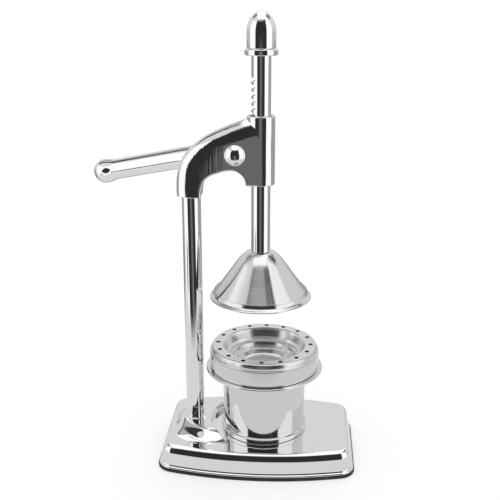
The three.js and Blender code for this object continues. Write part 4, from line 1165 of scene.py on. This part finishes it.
# Strainer: a spun funnel with a ring of drilled holes
strainerHigh = heights("strainer")[1]
strainer = {
    "skirt": 52.1, "skirtDrop": 8, "wall": 1.2, "funnel": 41, "funnelDepth": 21.5, "soft": 0.8, "rimSoft": 1.2,
    "holes": 16, "holeRadius": 2.2, "holeCircle": 45.7, "drill": 8, "sharpFrom": 32,
}
shoulderLine = [  # radius, height over the ring, softness
    (53.45, 0, 0.3), (53.45, 1.7, 0.7), (52.1, 2.3, 0.7), (51.75, 2.6, 0.5), (51.2, 7, 2.2),
]
funnelShares = [  # shares of the funnel's radius and depth
    (1, 0), (0.978, 0.035), (0.955, 0.12), (0.905, 0.4), (0.862, 0.52), (0.785, 0.545), (0.765, 0.58),
    (0.735, 0.7), (0.685, 0.81), (0.63, 0.83), (0.612, 0.86), (0.55, 0.965), (0.5, 1), (0.14, 1), (0.1, 0.93),
    (0, 0.9),
]


def makeDrillTree():
    tree, given, put = newGroup("drillRing", "GeometryNodeTree", [
        ("Sheet", "NodeSocketGeometry", None), ("Count", "NodeSocketInt", 16), ("Circle", number, 0.04),
        ("Radius", number, 0.002), ("Depth", number, 0.01), ("Place", vector, None),
        ("Finish", "NodeSocketMaterial", None),
    ], [("Piece", "NodeSocketGeometry")])
    circle = addNode(tree, "GeometryNodeMeshCircle", {"Vertices": given["Count"], "Radius": given["Circle"]})
    circle = addNode(tree, "GeometryNodeTransform", {
        "Geometry": circle.outputs[0], "Translation": given["Place"], "Rotation": (0, 0, math.pi / 2),
    }).outputs[0]
    drill = addNode(tree, "GeometryNodeMeshCylinder", {
        "Vertices": 28, "Radius": given["Radius"], "Depth": given["Depth"],
    }).outputs["Mesh"]
    return endTree(tree, cutWith(tree, given["Sheet"], circle, drill), given, put)


def strainerLine():
    edge = ringHigh + ring["gap"]
    thick = strainer["wall"]
    shoulder = [(r, edge + z, soft) for r, z, soft in shoulderLine]
    funnel = [(strainer["funnel"] * out, strainerHigh - strainer["funnelDepth"] * deep, strainer["soft"])
              for out, deep in funnelShares]
    funnel = [(*point[:2], min(point[2], 0.5 * math.dist(point[:2], funnel[i - 1][:2])))
              if 0 < i < len(funnel) - 1 else point for i, point in enumerate(funnel)]
    funnel[0] = (*funnel[0][:2], strainer["rimSoft"])
    upper = np.array(softLine([*shoulder, *funnel], 7))
    run = np.gradient(upper, axis=0)
    run /= np.maximum(np.linalg.norm(run, axis=1), 1e-9)[:, None]
    lower = upper + thick * np.stack([-run[:, 1], run[:, 0]], 1)
    inner, highest = strainer["skirt"] - thick, strainerHigh - thick + 0.05
    lower = [(r, z) for r, z in lower if 1 < r < inner - 0.1 and z < highest]
    skirtLow = edge - strainer["skirtDrop"]
    return [
        (0, upper[-1][1] - thick), *lower[::-1],
        *softLine([(inner, edge + 2), (inner, skirtLow, 0.3), (strainer["skirt"], skirtLow, 0.3),
                   (strainer["skirt"], edge)]),
        *[tuple(point) for point in upper],
    ]


strainerMesh = spinMesh(strainerLine(), satinSteel, 160, moveTo(cupX), closed=False)
faceOutwards(strainerMesh)
strainerMesh = growMesh(strainerMesh, makeDrillTree(), {
    "Count": strainer["holes"], "Circle": strainer["holeCircle"] * mm, "Radius": strainer["holeRadius"] * mm,
    "Depth": strainer["drill"] * mm, "Place": (cupX * mm, 0, strainerHigh * mm), "Finish": satinSteel,
})
strainerMesh.shade_smooth()
strainerMesh.set_sharp_from_angle(angle=math.radians(strainer["sharpFrom"]))
finishPiece("strainer", strainerMesh, satinSteel, "strainer", ["strainer"], keepNormals=True)
print("press: cup, ring and strainer made")


# Lever: shaft cap in front, hub and splayed bar behind
lever = {
    "droop": 14, "splay": 20, "plane": 26.35, "length": 168.3, "radius": 10.3, "bulb": 12.3, "bulbLength": 28,
    "seam": 31.3, "tenon": 7, "tenonReach": 16, "hub": 13, "hubFront": 16.85, "hubBack": 35.85, "socket": 12,
    "socketReach": 31, "shaft": 6.3, "tenonGap": 0.3, "nutRoom": 10, "pinHole": 2.3, "edge": 1.2, "blend": 3.0,
    "cell": 0.6,
}
leverFrame = moveTo(*pivot) @ Matrix.Rotation(-math.radians(lever["droop"]), 4, "Y")
alongY = leverFrame @ Matrix.Rotation(math.radians(-90), 4, "X")
splayed = leverFrame @ moveTo(0, lever["plane"], 0) @ Matrix.Rotation(-math.radians(lever["splay"]), 4, "Z")
alongLever = splayed @ Matrix.Rotation(math.radians(-90), 4, "Y")


def barLine():
    bulbStart = lever["length"] - lever["bulbLength"]
    bulbMiddle = lever["length"] - lever["bulb"]
    neck = []
    for k in range(1, 12):
        share = k / 12
        swell = (lever["bulb"] - lever["radius"]) * (1 - math.cos(math.pi * share)) / 2
        neck.append((lever["radius"] + swell, bulbStart + (bulbMiddle - bulbStart) * share))
    return [
        *softLine([(0, lever["tenonReach"]), (lever["tenon"], lever["tenonReach"], 0.5),
                   (lever["tenon"], lever["seam"]), (lever["radius"], lever["seam"], 0.5),
                   (lever["radius"], bulbStart)]),
        *neck, *arcLine((0, bulbMiddle), (lever["bulb"], lever["bulb"]), 0, 90, 28),
    ]


spinPiece("leverBar", barLine(), chrome, "lever", ["lever_bar"], place=alongLever, closed=False)

cap = {
    "radius": 10.2, "bulge": 7.2, "seat": -11.4, "bore": 4.3, "boreDepth": 2, "rim": 0.1, "washer": 10.9,
    "washerGap": 0.3, "washerBack": -10.3,
}
capSphere = (cap["radius"] ** 2 + cap["bulge"] ** 2) / (2 * cap["bulge"])
capOpen = math.asin(cap["radius"] / capSphere)
dome = [(capSphere * math.sin(capOpen * k / 30),
         cap["seat"] - cap["bulge"] + capSphere * (1 - math.cos(capOpen * k / 30))) for k in range(31)]
boreEnd = cap["seat"] - cap["boreDepth"]
spinPiece("shaftCap", [
    *dome, (cap["radius"] - cap["rim"], cap["seat"]), (cap["bore"], cap["seat"]), (cap["bore"], boreEnd),
    (0, boreEnd),
], chrome, "lever", ["shaft_cap"], place=alongY, closed=False)
spinPiece("shaftCapWasher", tubeLine(cap["bore"], cap["washer"], cap["seat"] + cap["washerGap"], cap["washerBack"],
                                     0.3, 0.1), chrome, "lever", ["shaft_cap_washer"], place=alongY)

splayCos, splaySin = math.cos(math.radians(lever["splay"])), math.sin(math.radians(lever["splay"]))


def hubField(points):
    # In the lever's own frame: Y along the shaft, the bar towards -X and backwards
    x, y, z = points[:, 0], points[:, 1], points[:, 2]
    fromShaft = np.hypot(x, z)
    out = y - lever["plane"]
    along = -x * splayCos + out * splaySin
    side = x * splaySin + out * splayCos
    barrel = tubeDistance(fromShaft, y, lever["hub"], lever["hubFront"], lever["hubBack"], lever["edge"])
    socket = tubeDistance(np.hypot(side, z), along, lever["socket"], 0, lever["socketReach"], lever["edge"])
    socket = softMax(socket, lever["hubFront"] - y, 0.6)
    solid = softMin(barrel, socket, lever["blend"])
    solid = softMax(solid, lever["hubFront"] - y, 0.4)
    nutRoom = np.maximum(fromShaft - lever["nutRoom"], lever["hubBack"] - y)
    solid = softMax(solid, -nutRoom, 0.8)
    solid = softMax(solid, lever["shaft"] - fromShaft, 0.4)
    bore = np.maximum(np.hypot(side, z) - lever["tenon"] - lever["tenonGap"], lever["tenonReach"] - along)
    solid = softMax(solid, -bore, 0.3)
    pin = np.hypot(along - (lever["tenonReach"] + lever["socketReach"]) / 2, z) - lever["pinHole"]
    return softMax(solid, -pin, 0.4)


hubMesh, hubPoints = skinField("hub", hubField, (-36, lever["hubFront"], -13), (13, 50, 13), lever["cell"])
smoothField(hubMesh, hubField, hubPoints)
hubMesh.transform(leverFrame)
finishPiece("leverHub", hubMesh, chrome, "lever", ["lever_hub"], keepNormals=True)
print("press: lever made")


# CAD pieces whose shape is right keep it and get their finish
for names, finish in (
    (("column_plug", "column_washer", "column_bolt", "head_set_screw_lower", "head_set_screw_upper",
      "lever_stop_pin", "lever_shaft", "pinion_gear", "pinion_key", "lever_cross_pin", "lever_key",
      "lever_washer"), plainSteel),
    (("guide_bush_upper", "guide_bush_lower", "shaft_bush_front", "shaft_bush_rear"), bronze),
    (("lever_nut",), chrome),
):
    for name in names:
        for materialSlot in frame["nodes"][name].material_slots:
            materialSlot.material = finish
